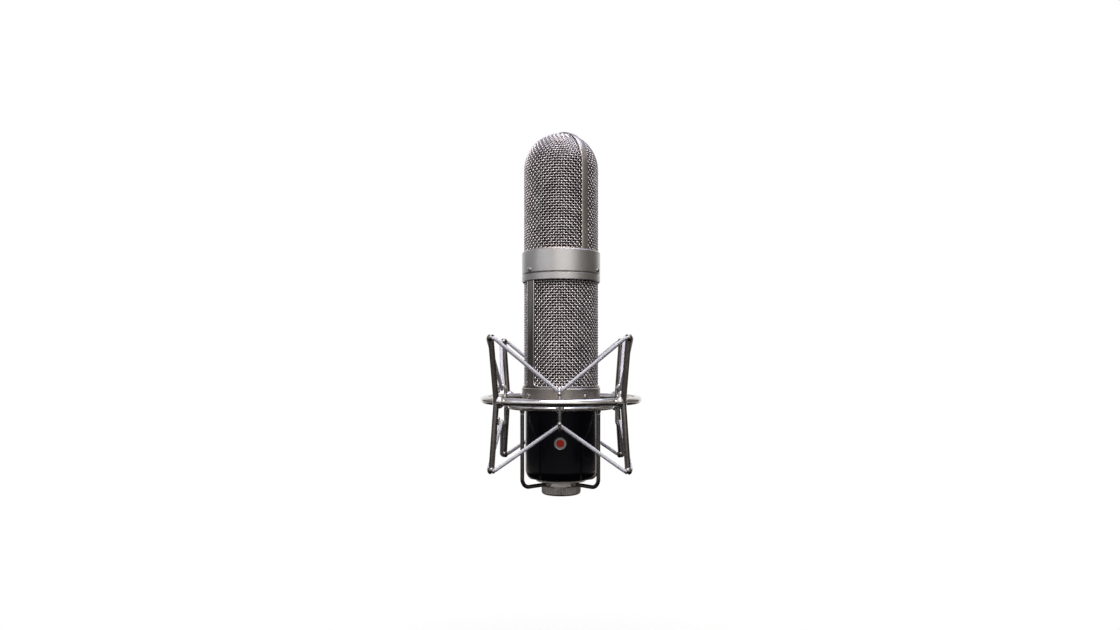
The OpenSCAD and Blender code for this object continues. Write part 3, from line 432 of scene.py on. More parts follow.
def elastic_loop(name, corners):
    """A closed tube with a UV map in millimetres: U along the cord, V round it."""
    path = rounded_loop(corners)
    count = len(path)
    tangent = np.roll(path, -1, 0) - np.roll(path, 1, 0)
    tangent /= np.linalg.norm(tangent, axis=1)[:, None]
    side = np.cross(tangent, [0, 0, 1.0])
    side /= np.linalg.norm(side, axis=1)[:, None]
    up = np.cross(side, tangent)
    angles = np.linspace(0, 2 * np.pi, cord_sides, endpoint=False)
    rings = path[:, None] + cord_r * (np.cos(angles)[None, :, None] * side[:, None]
                                      + np.sin(angles)[None, :, None] * up[:, None])
    length = np.concatenate([[0], np.cumsum(np.linalg.norm(np.roll(path, -1, 0) - path, axis=1))])
    faces, uvs = [], []
    for i in range(count):
        j = (i + 1) % count
        for k in range(cord_sides):
            m = (k + 1) % cord_sides
            faces.append((i * cord_sides + k, i * cord_sides + m, j * cord_sides + m, j * cord_sides + k))
            low, high = (n / cord_sides * 2 * math.pi * cord_r for n in (k, k + 1))
            uvs += [(length[i], low), (length[i], high), (length[i + 1], high), (length[i + 1], low)]
    mesh = bpy.data.meshes.new(name)
    mesh.from_pydata(at_microphone(rings.reshape(-1, 3)).tolist(), [], faces)
    layer = mesh.uv_layers.new(name="cord_length")
    layer.data.foreach_set("uv", np.array(uvs).ravel())
    mesh.polygons.foreach_set("use_smooth", [True] * len(faces))
    mesh.update()
    piece = bpy.data.objects.new(name, mesh)
    bpy.context.scene.collection.objects.link(piece)
    outward(piece)
    return piece


# Braided elastic sleeve: pale lavender grey, a little glossy as rayon is, with two families of strands that
# cross on the slant. Real strands are 0.35 mm wide; they are drawn 0.6 mm wide so that the braid shows.
# It is soiled in patches of about 6 mm and has a pile of about 0.3 mm. Its tone follows the braid's relief: a
# painted shade in the dips between the strands, and lighter on their crests.
strand_width, strands_round = 0.6, 8
braided_elastic, tree = blank_material("braided_elastic_sleeve")
spread = add_node(tree, "UVMap", {"uv_map": "cord_length"}, {})
axes = add_node(tree, "SeparateXYZ", {}, {"Vector": spread.outputs["UV"]})
families = []
for slant in (1, -1):
    lengthways = add_node(tree, "Math", {"operation": "MULTIPLY", 1: math.pi / strand_width},
                          {0: axes.outputs["X"]})
    phase = add_node(tree, "Math", {"operation": "MULTIPLY_ADD", 1: slant * strands_round / cord_r},
                     {0: axes.outputs["Y"], 2: lengthways.outputs[0]})
    wave = add_node(tree, "Math", {"operation": "SINE"}, {0: phase.outputs[0]})
    families.append(wave.outputs[0])
crossing = add_node(tree, "Math", {"operation": "MULTIPLY"}, {0: families[0], 1: families[1]})
height = add_node(tree, "MapRange", {"From Min": -1.0, "From Max": 1.0}, {"Value": crossing.outputs[0]})
place = add_node(tree, "TexCoord", {}, {})
soiling = add_node(tree, "TexNoise", {"Scale": 160.0, "Detail": 4.0}, {"Vector": place.outputs["Object"]})
pile = add_node(tree, "TexNoise", {"Scale": 3500.0, "Detail": 2.0}, {"Vector": place.outputs["Object"]})
# Painted shade: the strands' tone darkens where they dip under each other and lightens on their crests
strand_tone_and_painted_dip_shade = add_node(tree, "Mix", {"data_type": "RGBA", 6: linear("#a9a8b6"), 7: linear("#d6d6e0")},
                       {0: height.outputs[0]})
grey = add_node(tree, "MapRange", {"From Min": 0.35, "From Max": 0.75, "To Max": 0.45},
                {"Value": soiling.outputs["Fac"]})
soiled = add_node(tree, "Mix", {"data_type": "RGBA", 7: linear("#aeacb1")},
                  {0: grey.outputs[0], 6: strand_tone_and_painted_dip_shade.outputs[2]})
fuzz = add_node(tree, "Math", {"operation": "MULTIPLY_ADD", 1: 0.3},
                {0: pile.outputs["Fac"], 2: height.outputs[0]})
relief = add_node(tree, "Bump", {"Strength": 0.6, "Distance": 0.00015}, {"Height": fuzz.outputs[0]})
finish_surface(tree, {"Roughness": 0.48, "Sheen Weight": 0.12, "Sheen Roughness": 0.5},
               {"Base Color": soiled.outputs[2], "Normal": relief.outputs[0]})

# Each loop's reach at the balls, its heights at balls and hooks, and those two again in the shared frame
for name, node, arm_reach, arm_z, hook_z, bend, start, end in (
    ("braided_cord_top", "elastic_cord_top", 62.6, 107.4, 73.0, cord_r / 4, 0.0794, 0.0450),
    ("braided_cord_bottom", "elastic_cord_bottom", 62.1, 22.2, 50.5, -cord_r / 4, -0.0058, 0.0225),
):
    cord = elastic_loop(name, laced_path(arm_reach, arm_z, hook_z, bend))
    cord.data.materials.append(braided_elastic)
    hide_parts(node)
    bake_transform(cord)


# The cradle: a hub round the microphone's neck, four bent wires up to a ring, four posts with a hook at each
# end. Hub, ring and posts are bright nickel, the wires dark; all joints are brazed before plating.
post_places = (("front", 0), ("right", 90), ("back", 180), ("left", 270))
cradle_wire_r = 1.35
hub_side, wire_z = 12.1, 8.0
wire_reach, wire_top_z = 35.9, 60.2
post_foot_r, cradle_ring_z = 37.6, 61.2
dress(bright_nickel, "cradle_hub", "cradle_ring", *("hook_post_" + where for where, turn in post_places))
dress(aged_nickel, *("cradle_wire_" + where for where, turn in arm_places))


def brazed_flare(foot, height):
    """A flared collar of braze along +Z: wide at its foot, thin where it runs out on the cradle's wire."""
    bpy.ops.object.select_all(action="DESELECT")
    bpy.ops.mesh.primitive_cylinder_add(vertices=24, radius=foot, depth=0.6, location=(0, 0, -0.3))
    flare = bpy.context.object
    bpy.ops.object.mode_set(mode="EDIT")
    pick_faces(flare, lambda face: face.normal.z > 0.9)
    thin_edge = 0.04
    for low, high in ((0.0, 0.18), (0.18, 0.42), (0.42, 0.72), (0.72, 1.0)):
        wide, narrow = (cradle_wire_r + thin_edge + (foot - cradle_wire_r) * (1 - s) ** 2
                        for s in (low, high))
        bpy.ops.mesh.extrude_region_move(TRANSFORM_OT_translate={"value": (0, 0, (high - low) * height)})
        bpy.ops.transform.resize(value=(narrow / wide, narrow / wide, 1))
    bpy.ops.object.mode_set(mode="OBJECT")
    bpy.ops.object.shade_smooth_by_angle(angle=math.radians(50))
    return flare


# At the hub the wires run out level, and at the ring they end upright under it
hub_flare = brazed_flare(foot=2.1, height=3.2)
ring_flare = brazed_flare(foot=2.0, height=3.0)
ring_flare.data.transform(Matrix.Rotation(math.pi, 4, "X"))
post_saddle = brazed_saddle(width=4.2, depth=2.6, height=4.4)
for where, turn in arm_places:
    for braze in (set_out(hub_flare, "braze_hub_" + where, turn, hub_side, wire_z),
                  set_out(ring_flare, "braze_wire_" + where, turn, wire_reach, wire_top_z, stand=True)):
        braze.data.materials.append(bright_nickel)
        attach(braze, "microphone")
for where, turn in post_places:
    braze = set_out(post_saddle, "braze_post_" + where, turn, post_foot_r, cradle_ring_z, stand=True)
    braze.data.materials.append(bright_nickel)
    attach(braze, "microphone")
for model in (hub_flare, ring_flare, post_saddle):
    put_away(model)


# The ring nut: turned brass, straight-knurled on its rim and nickelled.
# It is screwed on the neck under the hub and holds the microphone in its cradle.
dress(knurled_nickel, "ring_nut")


# The base: a turned plate with the threaded neck, nickelled and held up to the body by three slotted screws.
# The five-pin insert, moulded black phenolic with gilt brass pins, sits inside the neck.
base_screw_reach, base_plate_z = 14.95, 9.4
# Satin nickel: fine turned metal under its plating, evenly dull
satin_nickel = nickel_plate("satin_nickel_plate", "#c8c5c3", "#b4b0ae",
                            polish=0.29, dullness=0.36, patch=0.030, scratch=0.0009)
dress(satin_nickel, "base_plate")


def slotted_screw(name, head, rise, depth, shank, length):
    """A dome-headed slotted screw along +Z in millimetres, the rim of its head at zero."""
    bpy.ops.object.select_all(action="DESELECT")
    bpy.ops.mesh.primitive_cylinder_add(vertices=32, radius=head, depth=depth, location=(0, 0, -depth / 2))
    screw = bpy.context.object
    screw.name = name
    bpy.ops.object.mode_set(mode="EDIT")
    pick_faces(screw, lambda face: face.normal.z > 0.9)
    for inwards, upwards in ((0.10, 0.45), (0.22, 0.33), (0.30, 0.17)):
        bpy.ops.mesh.inset(thickness=inwards * head, depth=upwards * rise)
    pick_faces(screw, lambda face: face.normal.z < -0.9)
    bpy.ops.mesh.inset(thickness=head - shank, depth=0)
    bpy.ops.mesh.extrude_region_move(TRANSFORM_OT_translate={"value": (0, 0, depth - length)})
    slot_half = 0.16 * head
    for side in (-slot_half, slot_half):
        bpy.ops.mesh.select_all(action="SELECT")
        bpy.ops.mesh.bisect(plane_co=(0, side, 0), plane_no=(0, 1, 0))
    pick_faces(screw, lambda face: face.normal.z > 0.3 and abs(face.calc_center_median().y) < slot_half
               and face.calc_center_median().z > -0.01)
    bpy.ops.mesh.extrude_region_move(TRANSFORM_OT_translate={"value": (0, 0, -rise)})
    bpy.ops.transform.resize(value=(1, 1, 0))
    bpy.ops.mesh.select_all(action="SELECT")
    bpy.ops.mesh.normals_make_consistent(inside=False)
    bpy.ops.object.mode_set(mode="OBJECT")
    bpy.ops.object.shade_smooth_by_angle(angle=math.radians(35))
    return screw


def joined(name, pieces):
    """Several objects as one, under the first one's place in the scene and a new name."""
    bpy.ops.object.select_all(action="DESELECT")
    for piece in pieces:
        piece.select_set(True)
    bpy.context.view_layer.objects.active = pieces[0]
    bpy.ops.object.join()
    pieces[0].name = name
    return pieces[0]


# Bright steel screws: polished heads, hardly tarnished, with the slot turned a little differently in each
screw_steel = nickel_plate("polished_screw_steel", "#cfccc9", "#a8a39f",
                           polish=0.14, dullness=0.24, patch=0.004, scratch=0.0005)
heads = []
for i, turn in enumerate((0, 120, 240)):
    screw = slotted_screw("base_screw", head=1.6, rise=0.3, depth=0.8, shank=0.95, length=3.5)
    slot_turn = Matrix.Rotation(math.radians(25 + 70 * i), 4, "Z")
    screw.data.transform(Matrix.Rotation(math.pi, 4, "X") @ slot_turn)
    heads.append(set_out(screw, "base_screw_%d" % (i + 1), turn, base_screw_reach, base_plate_z, stand=True))
    put_away(screw)
base_screws = joined("slotted_base_screws", heads)
base_screws.data.materials.append(screw_steel)
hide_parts("base_screws")
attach(base_screws, "microphone")


def plain_finish(name, first, second, metallic, polish, dullness, patch, grain, depth):
    """A solid or coated part: two close tones in patches, and a grain in its gloss and relief, in metres."""
    return two_toned(name, (first, second), share=(0.35, 0.65),
                     patches={"Scale": 1 / patch, "Detail": 4.0}, grain={"Scale": 1 / grain, "Detail": 3.0},
                     dull=(0.3, 0.7, polish, dullness), dulled_by="grain", relief=(0.3, depth),
                     plain={"Metallic": metallic})


# Moulded black phenolic: near black, half matt, with the faint mottle of its filler
moulded_phenolic = plain_finish("moulded_black_phenolic", "#0d0d0f", "#17161a", metallic=0.0,
                                polish=0.38, dullness=0.5, patch=0.003, grain=0.0003, depth=0.00005)
# Gilt brass: warm yellow, smooth, a little paler where plugs have rubbed it
gilt_brass = nickel_plate("gilt_brass_pins", "#d9b765", "#c29a4a",
                          polish=0.14, dullness=0.24, patch=0.002, scratch=0.0004)
dress(moulded_phenolic, "connector_insert")
dress(gilt_brass, "connector_pins")


# The lower body: a drawn brass shell with a rounded bottom edge, sprayed with gloss black lacquer and
# polished. It stands on the base plate, whose three screws come up into its floor.
# Gloss lacquer: deep blue-black, mirror-like, with a slight waviness of about 2.4 mm and soft patches of
# handling of about 14 mm
black_lacquer = two_toned("polished_black_lacquer", ("#04040a", "#08080f"),
                          patches={"Scale": 70.0, "Detail": 5.0}, grain={"Scale": 420.0, "Detail": 1.0},
                          dull=(0.35, 0.75, 0.12, 0.22), relief=(0.05, 0.0002),
                          plain={"IOR": 1.5, "Specular IOR Level": 0.22})
dress(black_lacquer, "body_shell")


# The medallion: a round brass coin, nickelled, with a plain field of red enamel let into its raised rim.
# It has no mark on it, and it is cemented into a shallow seat in the shell.
medallion_z, medallion_face = 37.6, 25.7
coin_r, coin_depth, rim_fall = 4.2, 1.1, 0.16
enamel_r, enamel_depth, enamel_sunk = 3.6, 0.3, 0.1


def stepped_disc(radius, depth, top, steps):
    """A round blank along Z, its upper face worked by steps inwards and up, in millimetres."""
    bpy.ops.object.select_all(action="DESELECT")
    bpy.ops.mesh.primitive_cylinder_add(vertices=64, radius=radius, depth=depth,
                                        location=(0, 0, top - depth / 2))
    disc = bpy.context.object
    bpy.ops.object.mode_set(mode="EDIT")
    pick_faces(disc, lambda face: face.normal.z > 0.9)
    for inwards, upwards in steps:
        bpy.ops.mesh.inset(thickness=inwards, depth=upwards)
    bpy.ops.object.mode_set(mode="OBJECT")
    return disc


coin = stepped_disc(coin_r, coin_depth, 0.0, ((0.16, 0.0), (0.34, 0.0), (0.10, -0.28)))
for corner in coin.data.vertices:
    if corner.co.z > -0.01 and math.hypot(corner.co.x, corner.co.y) > coin_r - 0.1:
        corner.co.z = -rim_fall
bpy.ops.object.shade_smooth_by_angle(angle=math.radians(30))
field = stepped_disc(enamel_r, enamel_depth, -enamel_sunk,
                     ((0.25, 0.06), (0.5, 0.05), (0.9, 0.04), (1.0, 0.02)))
bpy.ops.object.shade_smooth_by_angle(angle=math.radians(40))

# Fired enamel: red glass over metal, glossy, with ripples of about 1 mm, and a little darker where it lies
# thick, in patches of about 2.6 mm
red_enamel = two_toned("fired_red_enamel", ("#b8220f", "#8c180a"),
                       patches={"Scale": 380.0, "Detail": 3.0}, grain={"Scale": 900.0, "Detail": 1.0},
                       dull=(0.3, 0.7, 0.06, 0.14), relief=(0.1, 0.0001), plain={"IOR": 1.52})
for name, model, material, slot in (("medallion_coin", coin, bright_nickel, "bright_nickel"),
                                    ("medallion_enamel", field, red_enamel, "enamel")):
    piece = set_out(model, name, 0, medallion_face, medallion_z)
    piece.data.materials.append(material)
    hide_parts("front_medallion")
    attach(piece, "microphone")
    put_away(model)


# The lower collar: turned brass, satin nickelled, with a spigot down into the black shell.
# It carries the lower deck, and two slotted screws from outside hold the deck in it.
collar_r = 27.3
lower_screw_places = ((-53.5, 68.8), (39, 68.8))
# Handled nickel: warmer and duller than the upper collars, because the microphone is held here
handled_nickel = nickel_plate("handled_satin_nickel", "#aea7a1", "#958d86",
                              polish=0.30, dullness=0.38, patch=0.025, scratch=0.0009)
dress(handled_nickel, "lower_collar")


def collar_screws(name, node, places):
    """One piece of all the screws in a collar, each at its turn and height."""
    heads = []
    for i, (turn, up) in enumerate(places):
        screw = slotted_screw("collar_screw", head=1.7, rise=0.42, depth=0.8, shank=1.0, length=5.0)
        screw.data.transform(Matrix.Rotation(math.radians(35 + 65 * i), 4, "Z"))
        heads.append(set_out(screw, "%s_%d" % (name, i + 1), turn, collar_r, up))
        put_away(screw)
    row = joined(name, heads)
    row.data.materials.append(screw_steel)
    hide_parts(node)
    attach(row, "microphone")


collar_screws("slotted_lower_screws", "lower_collar_screws", lower_screw_places)


# The works in the black shell: two output transformers side by side, one for each channel, under the lower
# deck. Each is a drawn mu-metal can, lacquered brown; a clamp plate and two bolts hold them up to the deck.
# Machined aluminium: pale grey, half bright, with the fine lines of the tool
machined_alloy = nickel_plate("machined_aluminium_plate", "#b9babc", "#a3a5a8",
                              polish=0.26, dullness=0.38, patch=0.010, scratch=0.0005)
# Lacquered can: brown, smooth, slightly glossy over the drawn metal
lacquered_can = plain_finish("brown_lacquered_can", "#5a4636", "#49382b", metallic=0.0,
                             polish=0.25, dullness=0.38, patch=0.006, grain=0.0006, depth=0.00004)
dress(machined_alloy, "lower_deck", "transformer_clamp")
dress(lacquered_can, "transformer_left", "transformer_right")
dress(screw_steel, "transformer_bolts")


# The two ribbon motors: a steel pole frame with two magnets on it, and between them the corrugated ribbon,
# held at its ends by moulded clamps. Four turned standoffs lift each frame off its deck.
# Ground steel: grey, matt, a little blue from its finishing
ground_steel = plain_finish("ground_pole_steel", "#5f6266", "#4e5053", metallic=1.0,
                            polish=0.34, dullness=0.46, patch=0.008, grain=0.0004, depth=0.00004)
# Sintered magnet, ground flat: dark grey and grainy
ground_magnet = plain_finish("ground_dark_magnet", "#3b3b3f", "#2f2f33", metallic=0.6,
                             polish=0.42, dullness=0.55, patch=0.004, grain=0.0003, depth=0.00005)
# Aluminium foil a few thousandths of a millimetre thick: bright, faintly crinkled
ribbon_foil = nickel_plate("corrugated_aluminium_foil", "#dfe1e4", "#cfd2d6",
                           polish=0.16, dullness=0.26, patch=0.003, scratch=0.0004)
dress(ground_steel, "lower_pole_frame", "upper_pole_frame")
dress(ground_magnet, "lower_magnets", "upper_magnets")
dress(ribbon_foil, "lower_ribbon", "upper_ribbon")
dress(moulded_phenolic, "lower_ribbon_clamps", "upper_ribbon_clamps")
dress(machined_alloy, "lower_standoffs", "upper_standoffs")


# The lower grille frame: one sheet of brass, pierced for two windows, rolled round, butted at the back rib.
# Its windows run up behind the middle ring, and their edges are turned smooth and nickelled.
# The turn that the front window faces; the ribs stand a quarter turn to each side of it
lower_front = 39.2
frame_r, frame_wall = 26.05, 0.6
sheet_low, sheet_high = 71.3, 150.3
window_low, window_high, window_corner_r = 75.4, 149.0, 3.5
rib_half = 3.5
round_length = 2 * math.pi * frame_r


def meshed(name, curve):
    """A curve's shape as a mesh on an object of its own."""
    piece = bpy.data.objects.new(name, curve)
    bpy.context.scene.collection.objects.link(piece)
    bpy.ops.object.select_all(action="DESELECT")
    piece.select_set(True)
    bpy.context.view_layer.objects.active = piece
    bpy.ops.object.convert(target="MESH")
    return bpy.context.object


def rounded_window(left, right, bottom, top, corner_r):
    """The outline of a hole, each of its corners an arc in steps of 15 degrees."""
    outline = []
    for x, y, first in ((right, bottom, -90), (right, top, 0), (left, top, 90), (left, bottom, 180)):
        inner_x = x + corner_r * math.copysign(1, (left + right) / 2 - x)
        inner_y = y + corner_r * math.copysign(1, (bottom + top) / 2 - y)
        for degrees in range(first, first + 91, 15):
            outline.append((inner_x + corner_r * math.cos(math.radians(degrees)),
                            inner_y + corner_r * math.sin(math.radians(degrees))))
    return outline


def pierced_sheet(name, length, low, high, holes):
    """A flat sheet in millimetres with holes, cut into narrow strips so that it can be rolled."""
    outline = bpy.data.curves.new("sheet", "CURVE")
    outline.dimensions = "2D"
    outline.fill_mode = "BOTH"
    edge = [(-length / 2, low), (length / 2, low), (length / 2, high), (-length / 2, high)]
    for shape in [edge] + holes:
        spline = outline.splines.new("POLY")
        spline.points.add(len(shape) - 1)
        for point, (x, y) in zip(spline.points, shape):
            point.co = (x, y, 0, 1)
        spline.use_cyclic_u = True
    sheet = meshed(name, outline)
    strips = 72
    bpy.ops.object.mode_set(mode="EDIT")
    bpy.ops.mesh.select_all(action="SELECT")
    bpy.ops.mesh.remove_doubles(threshold=0.0001)
    for i in range(1, strips):
        bpy.ops.mesh.select_all(action="SELECT")
        bpy.ops.mesh.bisect(plane_co=(length * (i / strips - 0.5), 0, 0), plane_no=(1, 0, 0))
    bpy.ops.object.mode_set(mode="OBJECT")
    return sheet


def walled(piece, thickness, offset, edge, edge_angle):
    """Gives a skin its wall and eases the wall's edges, in millimetres."""
    wall = piece.modifiers.new("wall", "SOLIDIFY")
    wall.thickness = thickness
    wall.offset = offset
    edges = piece.modifiers.new("turned_edges", "BEVEL")
    edges.width = edge
    edges.segments = 2
    edges.limit_method = "ANGLE"
    edges.angle_limit = math.radians(edge_angle)
    bpy.ops.object.modifier_apply(modifier="wall")
    bpy.ops.object.modifier_apply(modifier="turned_edges")


window_reach = round_length / 4 - rib_half
windows = [rounded_window(middle - window_reach, middle + window_reach, window_low, window_high,
                          window_corner_r)
           for middle in (-round_length / 4, round_length / 4)]
lower_frame = pierced_sheet("pierced_lower_frame", round_length, sheet_low, sheet_high, windows)
for corner in lower_frame.data.vertices:
    turn = lower_front - 90 + math.degrees(corner.co.x / frame_r)
    corner.co = around(turn, frame_r, corner.co.y)
bpy.ops.object.mode_set(mode="EDIT")
bpy.ops.mesh.select_all(action="SELECT")
bpy.ops.mesh.remove_doubles(threshold=0.001)
bpy.ops.mesh.dissolve_limited(angle_limit=math.radians(0.5))
bpy.ops.mesh.normals_make_consistent(inside=False)
bpy.ops.object.mode_set(mode="OBJECT")
walled(lower_frame, frame_wall, offset=0.0, edge=0.2, edge_angle=50)
for corner in lower_frame.data.vertices:
    out = math.hypot(corner.co.x, corner.co.y)
    lift = (out + frame_wall / 2) / out
    corner.co = (corner.co.x * lift, corner.co.y * lift, corner.co.z)
bpy.ops.object.shade_smooth_by_angle(angle=math.radians(35))
lower_frame.data.transform(to_frame)
# Frame nickel: the darkest of the body's metals, from years of hands and stage smoke
frame_nickel = nickel_plate("worn_frame_nickel", "#88817f", "#6f6866",
                            polish=0.27, dullness=0.36, patch=0.020, scratch=0.0009)
lower_frame.data.materials.append(frame_nickel)
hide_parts("lower_frame")
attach(lower_frame, "microphone")

# The windows' edges are rolled over a wire; the roll is polished and shows as a thin bright line.
# It goes down one side, round the corner, along the bottom and up the other side.
roll_r, roll_wire_r, roll_corner_r = 26.45, 0.42, 26.5
roll_top, roll_straight_low = 147.1, 80.0
bead = bpy.data.curves.new("bead", "CURVE")
bead.dimensions = "3D"
bead.bevel_depth = roll_wire_r
bead.bevel_resolution = 2
bead.use_fill_caps = True
edge_turn = 90 - math.degrees(rib_half / frame_r)
corner_turn = math.degrees(window_corner_r / roll_corner_r)
side = [(-edge_turn, roll_top)] + [(-edge_turn, z) for z in np.arange(142.0, roll_straight_low, -6.0)]
side += [(-edge_turn + corner_turn * (1 - math.cos(a)), window_low + window_corner_r * (1 - math.sin(a)))
         for a in np.linspace(0, math.pi / 2, 7)]
bottom_turns = np.linspace(-edge_turn + corner_turn, edge_turn - corner_turn, 40)[1:-1]
bottom = [(t, window_low) for t in bottom_turns]
path = side + bottom + [(-t, z) for t, z in reversed(side)]
for middle in (lower_front, lower_front - 180):
    strand = bead.splines.new("POLY")
    strand.points.add(len(path) - 1)
    for point, (t, z) in zip(strand.points, path):
        point.co = (*around(middle + t, roll_r, z), 1)
    strand.use_smooth = True
roll = meshed("window_edge_rolls", bead)
roll.data.transform(to_frame)
roll.data.materials.append(bright_nickel)
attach(roll, "microphone")


# The gauze liners: fine dark wire cloth, rolled and domed, that keeps iron dust away from the magnets.
# Real wires stand 0.25 mm apart; they are drawn 0.6 mm apart so that the cloth shows as a cloth.
gauze_r, thread_spacing = 23.95, 0.6
# Fine gauze: brown-grey and half bright on its threads, and near black between them, a painted shade for the
# dark seen through the holes
dark_gauze, tree = blank_material("fine_dark_wire_gauze")
place = add_node(tree, "TexCoord", {}, {})
centred = add_node(tree, "Mapping", {"Location": (0.0, -axis_y / 1000, 0.0)},
                   {"Vector": place.outputs["Object"]})
axes = add_node(tree, "SeparateXYZ", {}, {"Vector": centred.outputs[0]})
bearing = add_node(tree, "Math", {"operation": "ARCTAN2"}, {0: axes.outputs["X"], 1: axes.outputs["Y"]})
threads = []
for source, count in ((bearing.outputs[0], round(2 * math.pi * gauze_r / thread_spacing)),
                      (axes.outputs["Z"], 2 * math.pi / (thread_spacing / 1000))):
    wave = add_node(tree, "Math", {"operation": "MULTIPLY", 1: count}, {0: source})
    threads.append(add_node(tree, "Math", {"operation": "COSINE"}, {0: wave.outputs[0]}).outputs[0])
upper_thread = add_node(tree, "Math", {"operation": "MAXIMUM"}, {0: threads[0], 1: threads[1]})
open_share = add_node(tree, "MapRange", {"From Min": -0.2, "From Max": 0.8},
                      {"Value": upper_thread.outputs[0]})
# Painted shade: the holes between the threads are near black; the threads keep their own brown-grey
thread_tone_and_painted_hole_shade = add_node(tree, "Mix", {"data_type": "RGBA", 6: linear("#0c0b0b"), 7: linear("#2e2a2a")},
                      {0: open_share.outputs[0]})
relief = add_node(tree, "Bump", {"Strength": 0.5, "Distance": 0.0001}, {"Height": open_share.outputs[0]})
finish_surface(tree, {"Metallic": 0.6, "Roughness": 0.55},
               {"Base Color": thread_tone_and_painted_hole_shade.outputs[2], "Normal": relief.outputs[0]})
dress(dark_gauze, "lower_gauze", "upper_gauze")


# The woven grilles: round nickel wire in plain weave, its wires upright and level, pressed over a former.
# Each half shell wraps a cylinder, and on the dome the cloth shears, as wire does: every mesh keeps its four
# sides. The upright wires bend over and under the level ones, which stay nearly straight.
wire_r, wire_spacing, cloth_r = 0.44, 1.77, 25.0
lower_cloth_top, lower_cloth_drop = 149.8, 78.0
# How far a wire swings in and out, in radii of the wire
upright_crimp, level_crimp = 1.36, 0.55
points_per_crossing = 3
# The cloth is laid 2 mm past the quarter round, and trimmed short of the ribs and at the dome's top corners
cloth_reach = cloth_r * math.pi / 2 + 2.0
net_size = math.ceil(cloth_reach / wire_spacing) + 2
rib_gap, corner_cut = 0.3, 1.1


def pressed_net(turn):
    """Where the crossings of the flat cloth lie on the unit dome, by their numbers sideways and up."""
    front, right = around(turn, 1.0, 0.0), beside(turn, 1.0, 0.0, 0.0)
    step = wire_spacing / cloth_r
    net = {}
    for side in (1, -1):
        for i in range(net_size):
            net[side * i, 0] = math.cos(i * step) * front + side * math.sin(i * step) * right
            net[0, i] = math.cos(i * step) * front + math.sin(i * step) * np.array([0.0, 0.0, 1.0])
        for j in range(1, net_size):
            for i in range(1, net_size):
                fold = np.cross(net[side * i, j - 1], net[side * (i - 1), j])
                fold /= np.linalg.norm(fold)
                before = net[side * (i - 1), j - 1]
                net[side * i, j] = before - 2 * (before @ fold) * fold
    return net


def weave_point(i, j, lift, net):
    """From the cloth, i wires sideways and j wires up, to the half shell with its dome's centre at zero."""
    level = max(j, 0.0)
    left, low = math.floor(i), math.floor(level)
    share, rise = i - left, level - low
    normal = ((1 - share) * (1 - rise) * net[left, low] + share * (1 - rise) * net[left + 1, low]
              + (1 - share) * rise * net[left, low + 1] + share * rise * net[left + 1, low + 1])
    normal /= np.linalg.norm(normal)
    return (cloth_r + lift) * normal + np.array([0.0, 0.0, wire_spacing * min(j, 0.0)])


def wire_runs(i, upright, start, stop, front, net):
    """The stretches of wire number i that are left when the cloth is trimmed at its ribs and top corners."""
    side = (1 if upright else -1) * (1 if i % 2 else -1)
    crimp = side * (upright_crimp if upright else level_crimp) * wire_r
    first, last = (edge / wire_spacing * points_per_crossing for edge in (start, stop))
    runs = [[]]
    for k in range(math.ceil(first), math.floor(last) + 1):
        along = k / points_per_crossing
        across, up = (i, along) if upright else (along, i)
        point = weave_point(across, up, crimp * math.cos(math.pi * along), net)
        off_corner = abs(across) * up * wire_spacing ** 2 < corner_cut * cloth_r ** 2
        if point @ front > rib_gap + wire_r and off_corner:
            runs[-1].append(point)
        elif runs[-1]:
            runs.append([])
    return [run for run in runs if len(run) >= points_per_crossing]


def woven_grille(name, turn, centre_z, drop, domed):
    """One half shell in plain weave, from its dome's centre down by the drop, with or without the dome."""
    top = cloth_reach if domed else 0.0
    front = around(turn, 1.0, 0.0)
    net = pressed_net(turn)
    curve = bpy.data.curves.new(name, "CURVE")
    curve.dimensions = "3D"
    curve.bevel_depth = wire_r / 1000
    curve.bevel_resolution = 1
    curve.use_fill_caps = True
    for upright, first, last, start, stop in ((True, -cloth_reach, cloth_reach, -drop, top),
                                              (False, -drop, top, -cloth_reach, cloth_reach)):
        for i in range(math.ceil(first / wire_spacing), math.floor(last / wire_spacing) + 1):
            for run in wire_runs(i, upright, start, stop, front, net):
                strand = curve.splines.new("POLY")
                strand.points.add(len(run) - 1)
                places = at_microphone(np.array(run) + [0.0, 0.0, centre_z])
                strand.points.foreach_set("co", np.hstack([places, np.ones((len(places), 1))]).ravel())
                strand.use_smooth = True
    return meshed(name, curve)


# Woven nickel wire: warm grey, satin, lighter and darker in patches of about 8 mm
woven_nickel = nickel_plate("woven_nickel_wire", "#bbb5b6", "#999294",
                            polish=0.20, dullness=0.30, patch=0.008, scratch=0.0008)


def hang_grille(name, node, turn, centre_z, drop, domed):
    """One half shell of the head, its middle facing a turn, in place of the solids' coarser one."""
    cloth = woven_grille(name, turn, centre_z, drop, domed)
    cloth.data.materials.append(woven_nickel)
    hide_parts(node)
    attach(cloth, "microphone")


hang_grille("fine_lower_mesh_front", "lower_mesh_front", lower_front, lower_cloth_top, lower_cloth_drop,
            domed=False)
hang_grille("fine_lower_mesh_back", "lower_mesh_back", lower_front - 180, lower_cloth_top, lower_cloth_drop,
            domed=False)


# The middle: a ring that closes the lower grille, the middle deck on it, and the upper collar above the seam.
# Ring and collar are turned and satin nickelled, and three slotted screws hold the collar to the deck, which
# is aluminium.
middle_screw_places = ((-51, 154.9), (69, 154.9), (189, 154.9))
dress(satin_nickel, "middle_ring", "middle_collar")
dress(machined_alloy, "middle_deck")
collar_screws("slotted_middle_screws", "middle_collar_screws", middle_screw_places)


# The upper grille frame: a hoop of crowned strip over the dome, brazed at its feet to a rolled band.
# It stands a quarter turn from the lower ribs, as the upper ribbon does from the lower one.
dome_z = 225.4
hoop_r, hoop_foot_z = 26.35, 168.2
hoop_rise = dome_z - hoop_foot_z
band_r, band_h, band_z = 26.05, 3.55, 166.775
